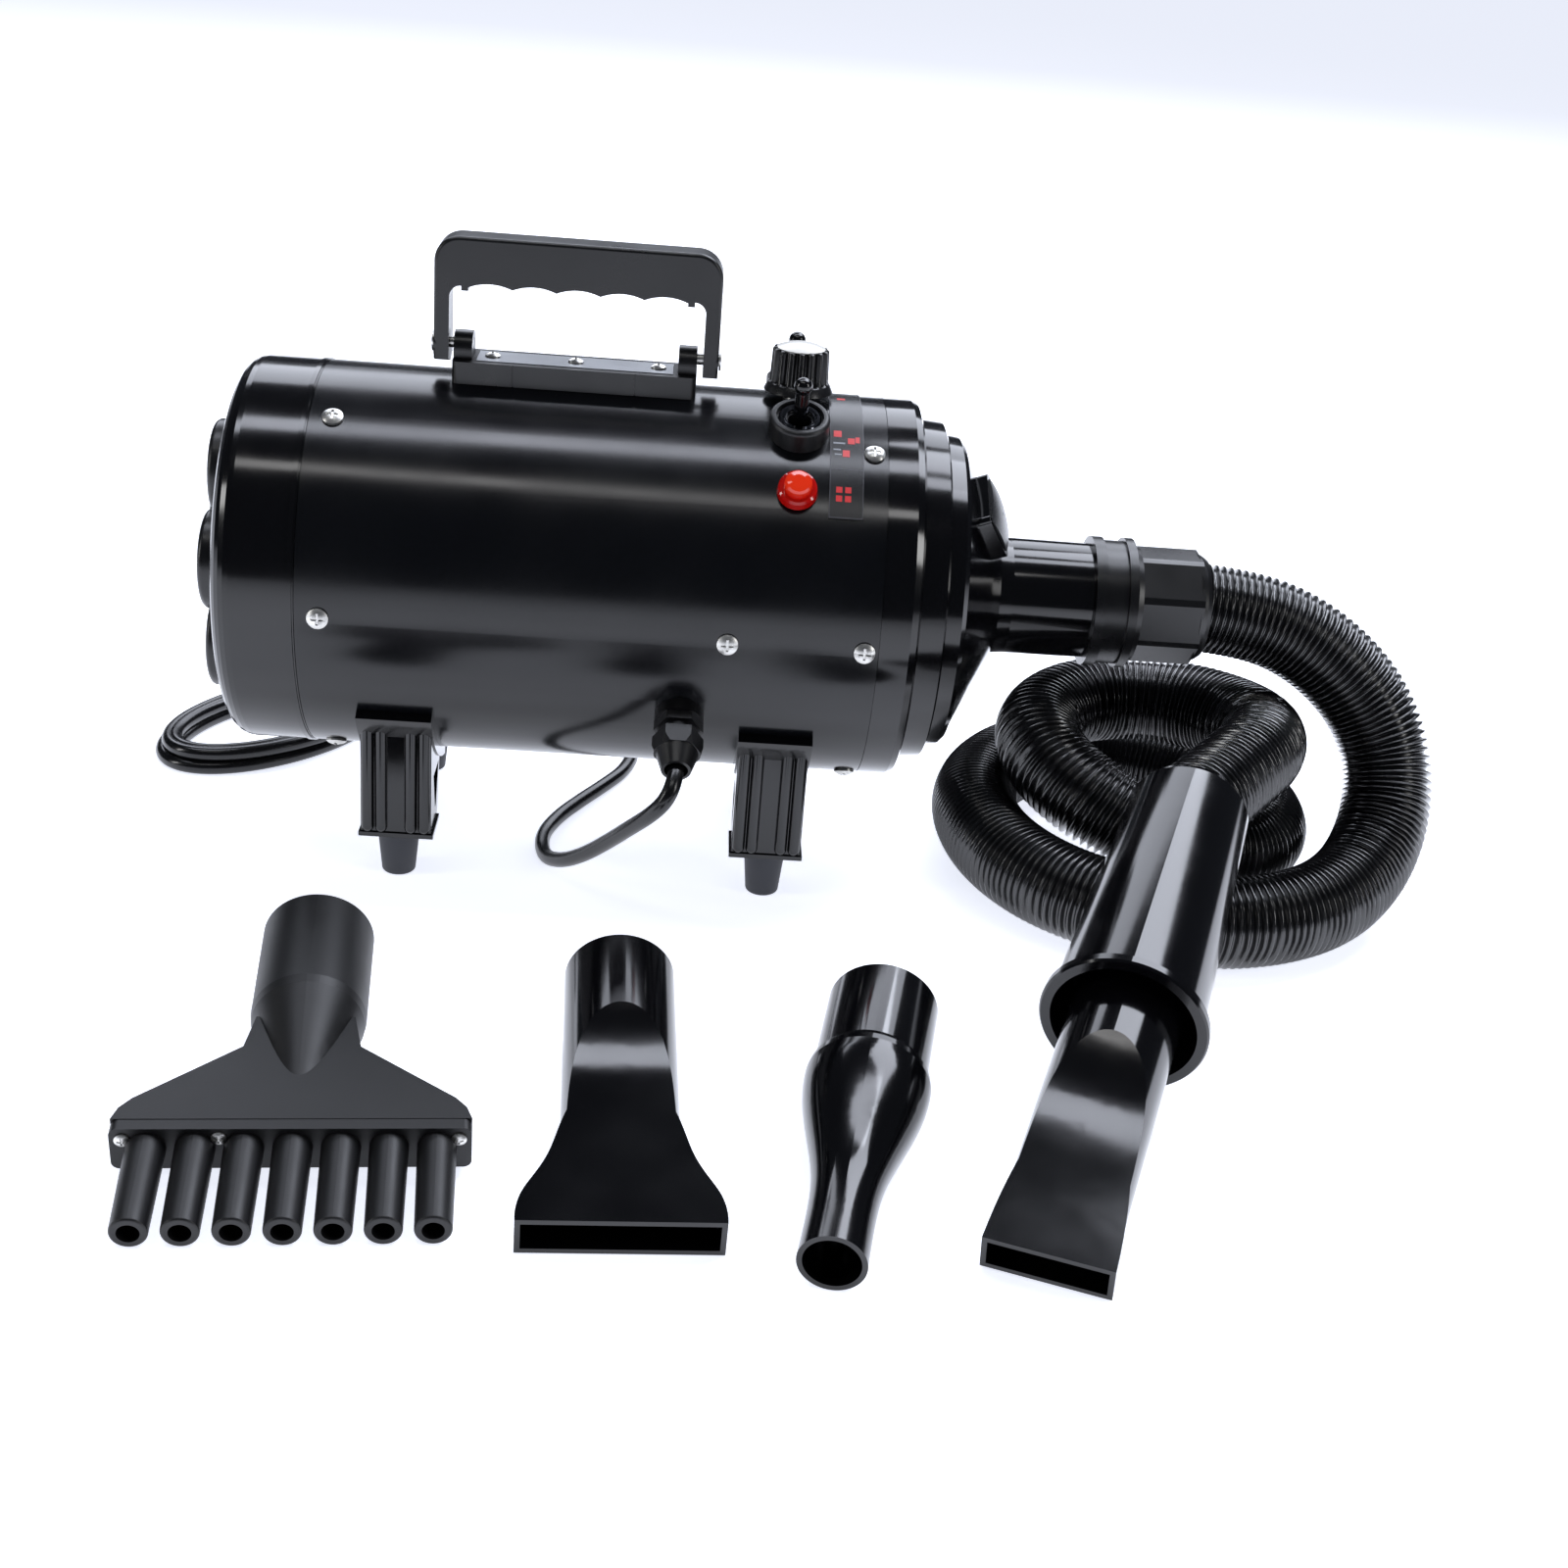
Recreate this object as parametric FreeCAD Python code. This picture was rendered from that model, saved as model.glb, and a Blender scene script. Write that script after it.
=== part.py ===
"""Pet dryer with a stretch hose, three loose nozzles and a power cord, one solid or group per node.

Millimetres. Shapes are built about the dryer's own axis: +X runs from the air inlet to the
outlet, -Y is the side with the lamp and the cord, +Z is up. They are then moved so that the
origin is on the floor, under the middle of everything but the two cords.
"""
import FreeCAD, Part
import math
import os

os.makedirs("parts", exist_ok=True)
V = FreeCAD.Vector
X, Y, Z = V(1, 0, 0), V(0, 1, 0), V(0, 0, 1)
O = V(0, 0, 0)

# ---- driving dimensions -------------------------------------------------------------------
AXIS_HEIGHT = 130.0          # dryer axis above the floor
SHIFT_X, SHIFT_Y = -59.4, 129.4   # from the dryer's middle to the origin's plane
FLOOR = -AXIS_HEIGHT
GAP = 0.3                    # air between parts that move or are only laid together

SHELL_R = 85.0
SHELL_T = 1.2
SHELL_HALF = 122.0
SPIGOT_R = SHELL_R - SHELL_T - GAP
SPIGOT_T = 3.0
SPIGOT_LEN = 17.0
CAP_T = 3.0
REAR_CAP_END = -158.0
FRONT_CAP_END = 139.0
SCREW_ANGLES = (0, 60, 120, 180, 240, 300)
REAR_SCREW_X, FRONT_SCREW_X, SIDE_SCREW_X = -112.2, 116.1, 58.3
CONTROL_X = 83.5
LAMP_ANGLE, FRONT_TOGGLE_ANGLE, KNOB_ANGLE, REAR_TOGGLE_ANGLE = 45.0, 67.5, 90.0, 112.5
GLAND_X, GLAND_ANGLE = 40.0, -26.0
OUTLET_R, OUTLET_T, OUTLET_END = 26.0, 2.0, 240.0
HANDLE_X0, HANDLE_X1 = -74.9, 47.8
HANDLE_PIVOT_Z = 99.0
FOOT_X, FOOT_Y = 82.5, 56.0
HOSE_R, HOSE_T = 20.5, 1.5
CORD_R = 3.5
PLUG_IN_R = 21.5             # every nozzle has the same socket end, which fits the hand cuff


# ---- small helpers ------------------------------------------------------------------------
def box(x0, x1, y0, y1, z0, z1):
    return Part.makeBox(x1 - x0, y1 - y0, z1 - z0, V(x0, y0, z0))


def rod(r, start, end):
    start, end = V(*start), V(*end)
    run = end - start
    return Part.makeCylinder(r, run.Length, start, run)


def tube_x(r_out, r_in, x0, x1):
    return rod(r_out, (x0, 0, 0), (x1, 0, 0)).cut(rod(r_in, (x0 - 1, 0, 0), (x1 + 1, 0, 0)))


def cone(r0, r1, height, base=O, axis=Z):
    return Part.makeCone(r0, r1, height, base, axis)


def spin(profile, axis=X):
    """A ring or disc turned about an axis; the profile is a list of (along, radius) corners."""
    side = Z if axis == X else X
    points = [axis * a + side * r for a, r in profile]
    face = Part.Face(Part.makePolygon(points + points[:1]))
    return face.revolve(O, axis, 360)


def prism(outline, plane, start, depth):
    """A flat outline pushed along the third axis: plane is "xy", "xz" or "yz"."""
    place = {"xy": lambda a, b: V(a, b, start), "xz": lambda a, b: V(a, start, b),
             "yz": lambda a, b: V(start, a, b)}[plane]
    push = {"xy": Z, "xz": Y, "yz": X}[plane] * depth
    points = [place(a, b) for a, b in outline]
    return Part.Face(Part.makePolygon(points + points[:1])).extrude(push)


def smooth_edge(points):
    """One spline edge through the points."""
    curve = Part.BSplineCurve()
    curve.interpolate(points)
    return curve.toShape()


def lines(*points):
    """Straight edges from point to point."""
    return Part.makePolygon(list(points)).Edges


def face_of(edges):
    return Part.Face(Part.Wire(Part.__sortEdges__(edges)))


def union(shapes):
    shapes = list(shapes)
    return shapes[0].multiFuse(shapes[1:]).removeSplitter()


def radial(shape, x, angle):
    """Stands a shape built up the Z axis on the dryer's axis at x, angle up from the -Y side."""
    turned = shape.copy()
    turned.rotate(O, X, 90 - angle)
    turned.translate(V(x, 0, 0))
    return turned


def soften(shape, radius, pick):
    """Rounds the edges that pick chooses."""
    edges = [edge for edge in shape.Edges if pick(edge)]
    return shape.makeFillet(radius, edges) if edges else shape


def mirrored_y(shape):
    return shape.mirror(O, Y)


def tube_path(points):
    """Straight runs joined by tangent arcs: a wire, its length, its arc radii and its first run."""
    points = [V(*p) for p in points]
    edges, radii, length = [], [], 0.0
    last = points[0]
    for before, corner, after in zip(points, points[1:], points[2:]):
        back, ahead = before - corner, after - corner
        shorter = min(back.Length, ahead.Length)
        back.normalize()
        ahead.normalize()
        half_turn = (math.pi - back.getAngle(ahead)) / 2
        trim = 0.45 * shorter
        radius = trim / math.tan(half_turn)
        start, end = corner + back * trim, corner + ahead * trim
        inward = back + ahead
        inward.normalize()
        middle = corner + inward * (radius / math.cos(half_turn) - radius)
        edges += [Part.LineSegment(last, start).toShape(), Part.Arc(start, middle, end).toShape()]
        length += (start - last).Length + 2 * half_turn * radius
        radii.append(radius)
        last = end
    edges.append(Part.LineSegment(last, points[-1]).toShape())
    length += (points[-1] - last).Length
    return Part.Wire(edges), length, radii, points[1] - points[0]


def swept(points, r_out, r_in, name):
    wire, length, radii, first = tube_path(points)
    start, end = V(*points[0]), V(*points[-1])
    last = end - V(*points[-2])

    def ring(r, centre, along):
        return Part.Wire(Part.makeCircle(r, centre, along))

    if r_in:
        walls = [wire.makePipeShell([ring(r, start, first)], False, True) for r in (r_out, r_in)]
        ends = [Part.Face(ring(r_out, centre, along)).cut(Part.Face(ring(r_in, centre, along)))
                for centre, along in ((start, first), (end, last))]
        skin = Part.makeShell([face for wall in walls + ends for face in wall.Faces])
        skin.sewShape()
        solid = Part.makeSolid(Part.Shell(skin.Faces))
    else:
        solid = wire.makePipeShell([ring(r_out, start, first)], True, True)
    area = math.pi * (r_out ** 2 - r_in ** 2)
    print(f"{name}: length {length:.0f}, radii {[round(r) for r in radii]}, "
          f"volume / (section x length) {solid.Volume / (area * length):.4f}")
    return solid


NODES = {}


def keep(name, *shapes):
    """Files the separate solids of one node."""
    solids = [solid for shape in shapes for solid in shape.Solids]
    NODES[name] = solids[0] if len(solids) == 1 else Part.makeCompound(solids)


# ---- case ---------------------------------------------------------------------------------
SCREW_HOLE_R, SCREW_SHANK_R = 2.3, 2.0
BUSH_R = {"pot": 3.8, "toggle": 6.0, "lamp": 7.5, "gland": 7.6}


def case_screw_places():
    places = [(REAR_SCREW_X, a) for a in SCREW_ANGLES] + [(FRONT_SCREW_X, a) for a in SCREW_ANGLES]
    return places + [(SIDE_SCREW_X, 0), (SIDE_SCREW_X, 180)]


def body_shell():
    shell = tube_x(SHELL_R, SHELL_R - SHELL_T, -SHELL_HALF, SHELL_HALF)
    cuts = [radial(rod(SCREW_HOLE_R, (0, 0, 70), (0, 0, 95)), x, a) for x, a in case_screw_places()]
    holes = [("pot", CONTROL_X, KNOB_ANGLE), ("toggle", CONTROL_X, FRONT_TOGGLE_ANGLE),
             ("toggle", CONTROL_X, REAR_TOGGLE_ANGLE), ("lamp", CONTROL_X, LAMP_ANGLE),
             ("gland", GLAND_X, GLAND_ANGLE)]
    for kind, x, a in holes:
        cuts.append(radial(rod(BUSH_R[kind] + 0.2, (0, 0, 70), (0, 0, 95)), x, a))
    for x in (-FOOT_X, FOOT_X):
        for a in (FOOT_SCREW_ANGLE, 180 - FOOT_SCREW_ANGLE):
            cuts.append(radial(rod(SCREW_HOLE_R, (0, 0, 70), (0, 0, 95)), x, a))
    return shell.cut(Part.makeCompound(cuts))


def pan_screw(shank):
    """Pan head with a cross recess, its seat at z = 0 and its shank below."""
    head = Part.makeSphere(7.0, V(0, 0, -4.4)).common(rod(4.5, (0, 0, 0), (0, 0, 4)))
    slot = box(-2.6, 2.6, -0.55, 0.55, 1.3, 4)
    cross = slot.fuse(box(-0.55, 0.55, -2.6, 2.6, 1.3, 4))
    return union([head.cut(cross), rod(SCREW_SHANK_R, (0, 0, -shank), (0, 0, 0.2))])


def spigot(x0, x1):
    ring = tube_x(SPIGOT_R, SPIGOT_R - SPIGOT_T, x0, x1)
    screw_x = REAR_SCREW_X if x0 < 0 else FRONT_SCREW_X
    cuts = [radial(rod(SCREW_SHANK_R + 0.1, (0, 0, 70), (0, 0, 95)), screw_x, a) for a in SCREW_ANGLES]
    return ring.cut(Part.makeCompound(cuts))


INLET_R = 50.0
EDGE_R = 9.0


def rear_cap():
    inner = SHELL_R - CAP_T
    end = REAR_CAP_END
    arc = [(end + EDGE_R * (1 - math.sin(t)), SHELL_R - EDGE_R * (1 - math.cos(t)))
           for t in (math.radians(step * 15) for step in range(7))]
    outer = [(-SHELL_HALF - GAP, SHELL_R)] + arc
    profile = outer + [(end, INLET_R), (end + CAP_T, INLET_R), (end + CAP_T, inner - EDGE_R + 2),
                       (end + EDGE_R, inner), (-SHELL_HALF - GAP, inner)]
    cap = spin(profile)
    collar = tube_x(inner + 1, SPIGOT_R - SPIGOT_T, -SHELL_HALF - 3 - GAP, -SHELL_HALF - GAP)
    ring = spigot(-SHELL_HALF - 1, -SHELL_HALF + SPIGOT_LEN)
    ribs = [tube_x(r + 1.2, r - 1.2, end, end + CAP_T) for r in (12, 22, 32, 42)]
    spokes = [box(end, end + CAP_T, -1.6, 1.6, 0, INLET_R + 2) for _ in range(6)]
    for turn, spoke in enumerate(spokes):
        spoke.rotate(O, X, 60 * turn)
    hub = rod(8, (end, 0, 0), (end + CAP_T, 0, 0))
    bead = tube_x(SHELL_R + 0.6, SHELL_R - 1, -SHELL_HALF - 3, -SHELL_HALF - 1)
    return union([cap, collar, ring, hub, bead] + ribs + spokes)


LOBES = 7
COVER_R, LOBE_R = 47.0, 21.5
COVER_DEPTH = 7.5


def lobed_disc(core_r, lobe_r, ring_r, x0, x1):
    lobes = []
    for k in range(LOBES):
        a = 2 * math.pi * k / LOBES + 0.25
        y, z = ring_r * math.cos(a), ring_r * math.sin(a)
        lobes.append(rod(lobe_r, (x0, y, z), (x1, y, z)))
    return union([rod(core_r, (x0, 0, 0), (x1, 0, 0))] + lobes)


def inlet_cover():
    x1 = REAR_CAP_END - GAP
    x0 = x1 - COVER_DEPTH
    outer = lobed_disc(COVER_R, LOBE_R, COVER_R, x0, x1)
    outer = soften(outer, 2.5, lambda e: e.BoundBox.XMax < x0 + 0.01 and e.BoundBox.XLength < 0.01)
    inner = lobed_disc(COVER_R - 2.5, LOBE_R - 2.5, COVER_R, x0 + 2.5, x1 + 1)
    cover = outer.cut(inner)
    slots = []
    for turn in range(LOBES * 2):
        for r0, r1 in ((14, 27), (31, 45), (49, 60)):
            slot = box(x0 - 1, x0 + 4, -1.7, 1.7, r0, r1)
            slot.rotate(O, X, 360 / (LOBES * 2) * (turn + 0.5))
            slots.append(slot)
    cover = cover.cut(Part.makeCompound(slots))
    clips = []
    for turn in range(3):
        clip = box(x1 - 5, x1 + 7, -5, 5, INLET_R - 3.5, INLET_R - 1)
        clip.rotate(O, X, 120 * turn + 30)
        clips.append(clip)
    return union([cover] + clips)


def foam_filter():
    x1 = REAR_CAP_END - GAP - 0.5
    return rod(44.0, (x1 - 4.0, 0, 0), (x1, 0, 0))


def front_cap():
    """Outer ring, then two smaller steps that carry the outlet cone."""
    r, x0, x1 = SHELL_R, SHELL_HALF + GAP, FRONT_CAP_END
    profile = [(x0, r), (x1 - 4, r), (x1 - 1.2, r - 1.2), (x1, r - 4), (x1, 77), (x1 + 11, 76),
               (x1 + 12, 74), (x1 + 12, 71), (x1 + 19, 70), (x1 + 21, 68), (x1 + 21, 62),
               (x1 + 18, 62), (x1 + 18, 67), (x1 + 10, 68), (x1 + 10, 73), (x1 - 3, 74),
               (x1 - 3, r - CAP_T), (x0, r - CAP_T)]
    collar = tube_x(r - CAP_T + 1, SPIGOT_R - SPIGOT_T, x0, x0 + 3)
    ring = spigot(SHELL_HALF - SPIGOT_LEN, SHELL_HALF + 1)
    ring_front = spin(profile)
    return union([ring_front, collar, ring])


CONE_START, CONE_END = FRONT_CAP_END + 21.0, 180.0
PAD_ANGLE = 62.0


def outlet_cone():
    x0, x1 = CONE_START + GAP, CONE_END
    big, small = 66.5, OUTLET_R + 1
    outer = [(x0, big), (x1, small), (x1 + 6, OUTLET_R + 0.4), (OUTLET_END, OUTLET_R)]
    inner = [(OUTLET_END, OUTLET_R - OUTLET_T), (x1 - 0.5, OUTLET_R - OUTLET_T), (x0 + 1, big - 7)]
    rim = [(x0 - 5, big - 7), (x0 - 5, big - 4.8), (x0, big - 4.8)]
    return spin(outer + inner + rim)


def pad_frame(shape):
    """Moves a shape built flat at the origin to the upper slope of the cone."""
    slope = math.degrees(math.atan2(66.5 - OUTLET_R - 1, CONE_END - CONE_START))
    placed = shape.copy()
    placed.rotate(O, Y, slope)
    placed.translate(V((CONE_START + CONE_END) / 2 - 1, 0, 48.5))
    placed.rotate(O, X, 90 - PAD_ANGLE)
    return placed


def badge_pad():
    pad = pad_frame(soften(box(-13, 13, -15, 15, -9, 6), 3, lambda e: e.BoundBox.ZLength > 10))
    airway = spin([(150, 0), (150, 70), (CONE_START, 63), (CONE_END, 25), (230, 24), (230, 0)])
    return pad.cut(airway)


def badge():
    plate = soften(box(-11, 11, -13, 13, 6.05, 12), 2, lambda e: e.BoundBox.ZLength > 5)
    return pad_frame(plate.common(Part.makeSphere(60, V(0, 0, -60 + 8.6))))


# ---- blower and heater --------------------------------------------------------------------
MOTOR_MID = -52.0


def motor_parts():
    fan_x0, fan_x1 = MOTOR_MID - 52, MOTOR_MID - 2
    can = tube_x(62, 60.5, fan_x0, fan_x1)
    back = tube_x(61, 22, fan_x0, fan_x0 + 1.5)
    front = tube_x(61, 36, fan_x1 - 1.5, fan_x1)
    keep("fan_housing", union([can, back, front]))
    frame = tube_x(44, 37, fan_x1 + 0.3, fan_x1 + 52)
    ends = [tube_x(38, 11.3, fan_x1 + a, fan_x1 + a + 4) for a in (2, 47)]
    vents = [box(fan_x1 + 1.9, fan_x1 + 52.1, -6, 6, 18, 32) for _ in range(4)]
    for turn, vent in enumerate(vents):
        vent.rotate(O, X, 45 + 90 * turn)
    poles = [box(fan_x1 + 10, fan_x1 + 42, -16, 16, 27, 38), box(fan_x1 + 10, fan_x1 + 42, -16, 16, -38, -27)]
    keep("motor_frame", union([frame] + ends).cut(Part.makeCompound(vents)).fuse(poles).removeSplitter())
    keep("motor_bearings", *[tube_x(11.2, 4.05, fan_x1 + a, fan_x1 + a + 7) for a in (0.5, 45)])
    keep("rotor_shaft", rod(4.0, (fan_x0 + 6, 0, 0), (fan_x1 + 56, 0, 0)))
    core = tube_x(25, 4.02, fan_x1 + 10, fan_x1 + 36)
    slots = [box(fan_x1 + 9, fan_x1 + 37, -1.2, 1.2, 14, 26) for _ in range(12)]
    for turn, slot in enumerate(slots):
        slot.rotate(O, X, 30 * turn)
    commutator = tube_x(12, 4.02, fan_x1 + 35, fan_x1 + 44)
    keep("armature", core.cut(Part.makeCompound(slots)).fuse(commutator).removeSplitter())
    keep("impellers", *[impeller(fan_x0 + a) for a in (8, 29)])
    keep("brush_holders", *[box(fan_x1 + 37, fan_x1 + 42.5, y, y + 24, -4, 4) for y in (-36.5, 12.5)])
    keep("motor_rings", *[tube_x(83.5, 62.3, x, x + 6) for x in (fan_x0 + 2, fan_x1 - 9)])
    plate = tube_x(80, 44.3, fan_x1 + 22, fan_x1 + 24)
    keep("motor_plate", union([plate, tube_x(83.4, 80, fan_x1 + 12, fan_x1 + 24)]))


def impeller(x0):
    hub = tube_x(10, 4.02, x0, x0 + 15)
    back = tube_x(57, 9, x0 + 13.5, x0 + 15)
    front = tube_x(57, 24, x0, x0 + 1.2)
    blades = []
    for turn in range(9):
        blade = box(x0 + 1, x0 + 14, -0.6, 0.6, 13, 56.5)
        blade.rotate(V(0, 0, 13), X, 22)
        blade.rotate(O, X, 40 * turn)
        blades.append(blade)
    return union([hub, back, front] + blades)


HEATER_X0, HEATER_X1 = 62.0, 118.0
COIL_RADII = (22, 34, 46)


def heater_parts():
    x0, x1 = HEATER_X0, HEATER_X1
    fins = [box(x0, x1, -0.8, 0.8, -50, 50), box(x0, x1, -50, 50, -0.8, 0.8)]
    frame = union(fins)
    rows = [(x0 + 8 + 10 * k) for k in range(5)]
    grooves = [tube_x(r + 1.2, r - 1.2, x - 1.2, x + 1.2) for x in rows for r in COIL_RADII]
    keep("heater_frame", frame.cut(Part.makeCompound(grooves)))
    keep("heater_coil", *[Part.makeTorus(r, 0.8, V(x, 0, 0), X) for x in rows for r in COIL_RADII])
    tab = box(x0 - 4, x0 + 14, 0.85, 1.85, 8, 16)
    keep("thermal_cutout", rod(6, (x0 + 5, 1.0, 12), (x0 + 5, 6, 12)).fuse(tab))


# ---- controls -----------------------------------------------------------------------------
LABEL_X0, LABEL_X1 = CONTROL_X + 13.6, CONTROL_X + 28.0


def control_parts():
    inside = SHELL_R - SHELL_T - 1.2
    place = lambda shape, angle: radial(shape, CONTROL_X, angle)
    pot = union([rod(8.5, (0, 0, inside - 10), (0, 0, inside)), rod(3.8, (0, 0, inside), (0, 0, SHELL_R + 2.5)),
                 rod(6.5, (0, 0, SHELL_R + 0.1), (0, 0, SHELL_R + 2))])
    keep("pot_body", place(pot.cut(rod(3.05, (0, 0, inside - 8), (0, 0, 100))), KNOB_ANGLE))
    keep("pot_shaft", place(rod(3.0, (0, 0, inside - 6), (0, 0, 102)), KNOB_ANGLE))
    low, top = SHELL_R + 3.2, SHELL_R + 22.0
    skirt = cone(15.2, 13.2, 4.0, V(0, 0, low))
    drum = cone(12.3, 11.6, top - low - 3.9, V(0, 0, low + 3.8))
    grooves = []
    for k in range(18):
        a = 2 * math.pi * k / 18
        x, y = 12.9 * math.cos(a), 12.9 * math.sin(a)
        grooves.append(rod(1.2, (x, y, low + 5), (x, y, top + 1)))
    knob = skirt.fuse(drum).cut(Part.makeCompound(grooves + [rod(3.02, (0, 0, 0), (0, 0, 102.2))]))
    hollow = rod(7.2, (0, 0, low - 1), (0, 0, low + 2.2))
    keep("speed_knob", place(knob.cut(hollow), KNOB_ANGLE))
    cap = Part.makeSphere(26, V(0, 0, top + 0.05 - 23.4)).common(rod(10.6, (0, 0, top + 0.05), (0, 0, top + 4)))
    keep("knob_cap", place(cap, KNOB_ANGLE))

    for name, angle in (("front", FRONT_TOGGLE_ANGLE), ("rear", REAR_TOGGLE_ANGLE)):
        body = union([box(-7, 7, -6, 6, inside - 20, inside), rod(6.0, (0, 0, inside - 0.5), (0, 0, SHELL_R + 6))])
        well = cone(2.4, 5.2, 10.2, V(0, 0, SHELL_R - 4))
        ball = Part.makeSphere(3.35, V(0, 0, SHELL_R - 3))
        keep("toggle_body_" + name, place(body.cut(union([well, ball])), angle))
        collar = rod(13, (0, 0, SHELL_R - 1.05), (0, 0, SHELL_R + 9))
        collar = soften(collar, 2, lambda e: e.BoundBox.ZMin > SHELL_R + 8)
        dish = rod(10.2, (0, 0, SHELL_R + 6.3), (0, 0, SHELL_R + 12))
        under = rod(SHELL_R + 0.05, (-20, 0, 0), (20, 0, 0))
        collar = collar.cut(union([dish, rod(6.1, (0, 0, 0), (0, 0, 120))])).cut(under)
        keep("toggle_collar_" + name, place(collar, angle))
        lever = union([Part.makeSphere(3.3, V(0, 0, SHELL_R - 3)), cone(2.0, 3.0, 14, V(0, 0, SHELL_R - 1)),
                       rod(3.0, (0, 0, SHELL_R + 12.9), (0, 0, SHELL_R + 23)),
                       Part.makeSphere(3.9, V(0, 0, SHELL_R + 24))])
        keep("toggle_lever_" + name, place(lever, angle))

    housing = rod(7.5, (0, 0, inside - 16), (0, 0, SHELL_R + 0.9))
    housing = housing.cut(rod(5.6, (0, 0, inside - 14), (0, 0, SHELL_R + 5)))
    keep("lamp_housing", place(housing, LAMP_ANGLE))
    low = SHELL_R + 0.95
    lens = spin([(low, 0), (low, 8.6), (low + 3.4, 8.2), (low + 4.2, 7.2), (low + 4.2, 6.0),
                 (low + 8.4, 5.7), (low + 9.4, 4.8), (low + 9.8, 3.0), (low + 9.8, 0)], Z)
    keep("lamp_lens", place(lens, LAMP_ANGLE))
    label = tube_x(SHELL_R + 0.45, SHELL_R + 0.05, LABEL_X0, LABEL_X1)
    sector = prism([(0, 0), (-120, 93), (-120, 130), (60, 130)], "yz", 0, 130)
    keep("control_label", label.common(sector))
    board = box(20, 56, -40, 30, 58, 59.6)
    chips = [box(26, 36, -34, -10, 59.5, 68), box(40, 52, -30, -18, 59.5, 66), rod(5, (30, 10, 59.5), (30, 10, 70)),
             rod(5, (44, 4, 59.5), (44, 4, 70)), box(38, 50, 14, 26, 59.5, 67)]
    keep("control_board", union([board] + chips))


# ---- handle -------------------------------------------------------------------------------
HANDLE_HALF_Y, LEG_T, GRIP_Z0, HANDLE_TOP = 8.0, 6.6, 123.0, 145.6
BASE_X0, BASE_X1, BASE_TOP = -66.5, 38.7, 93.5


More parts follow.
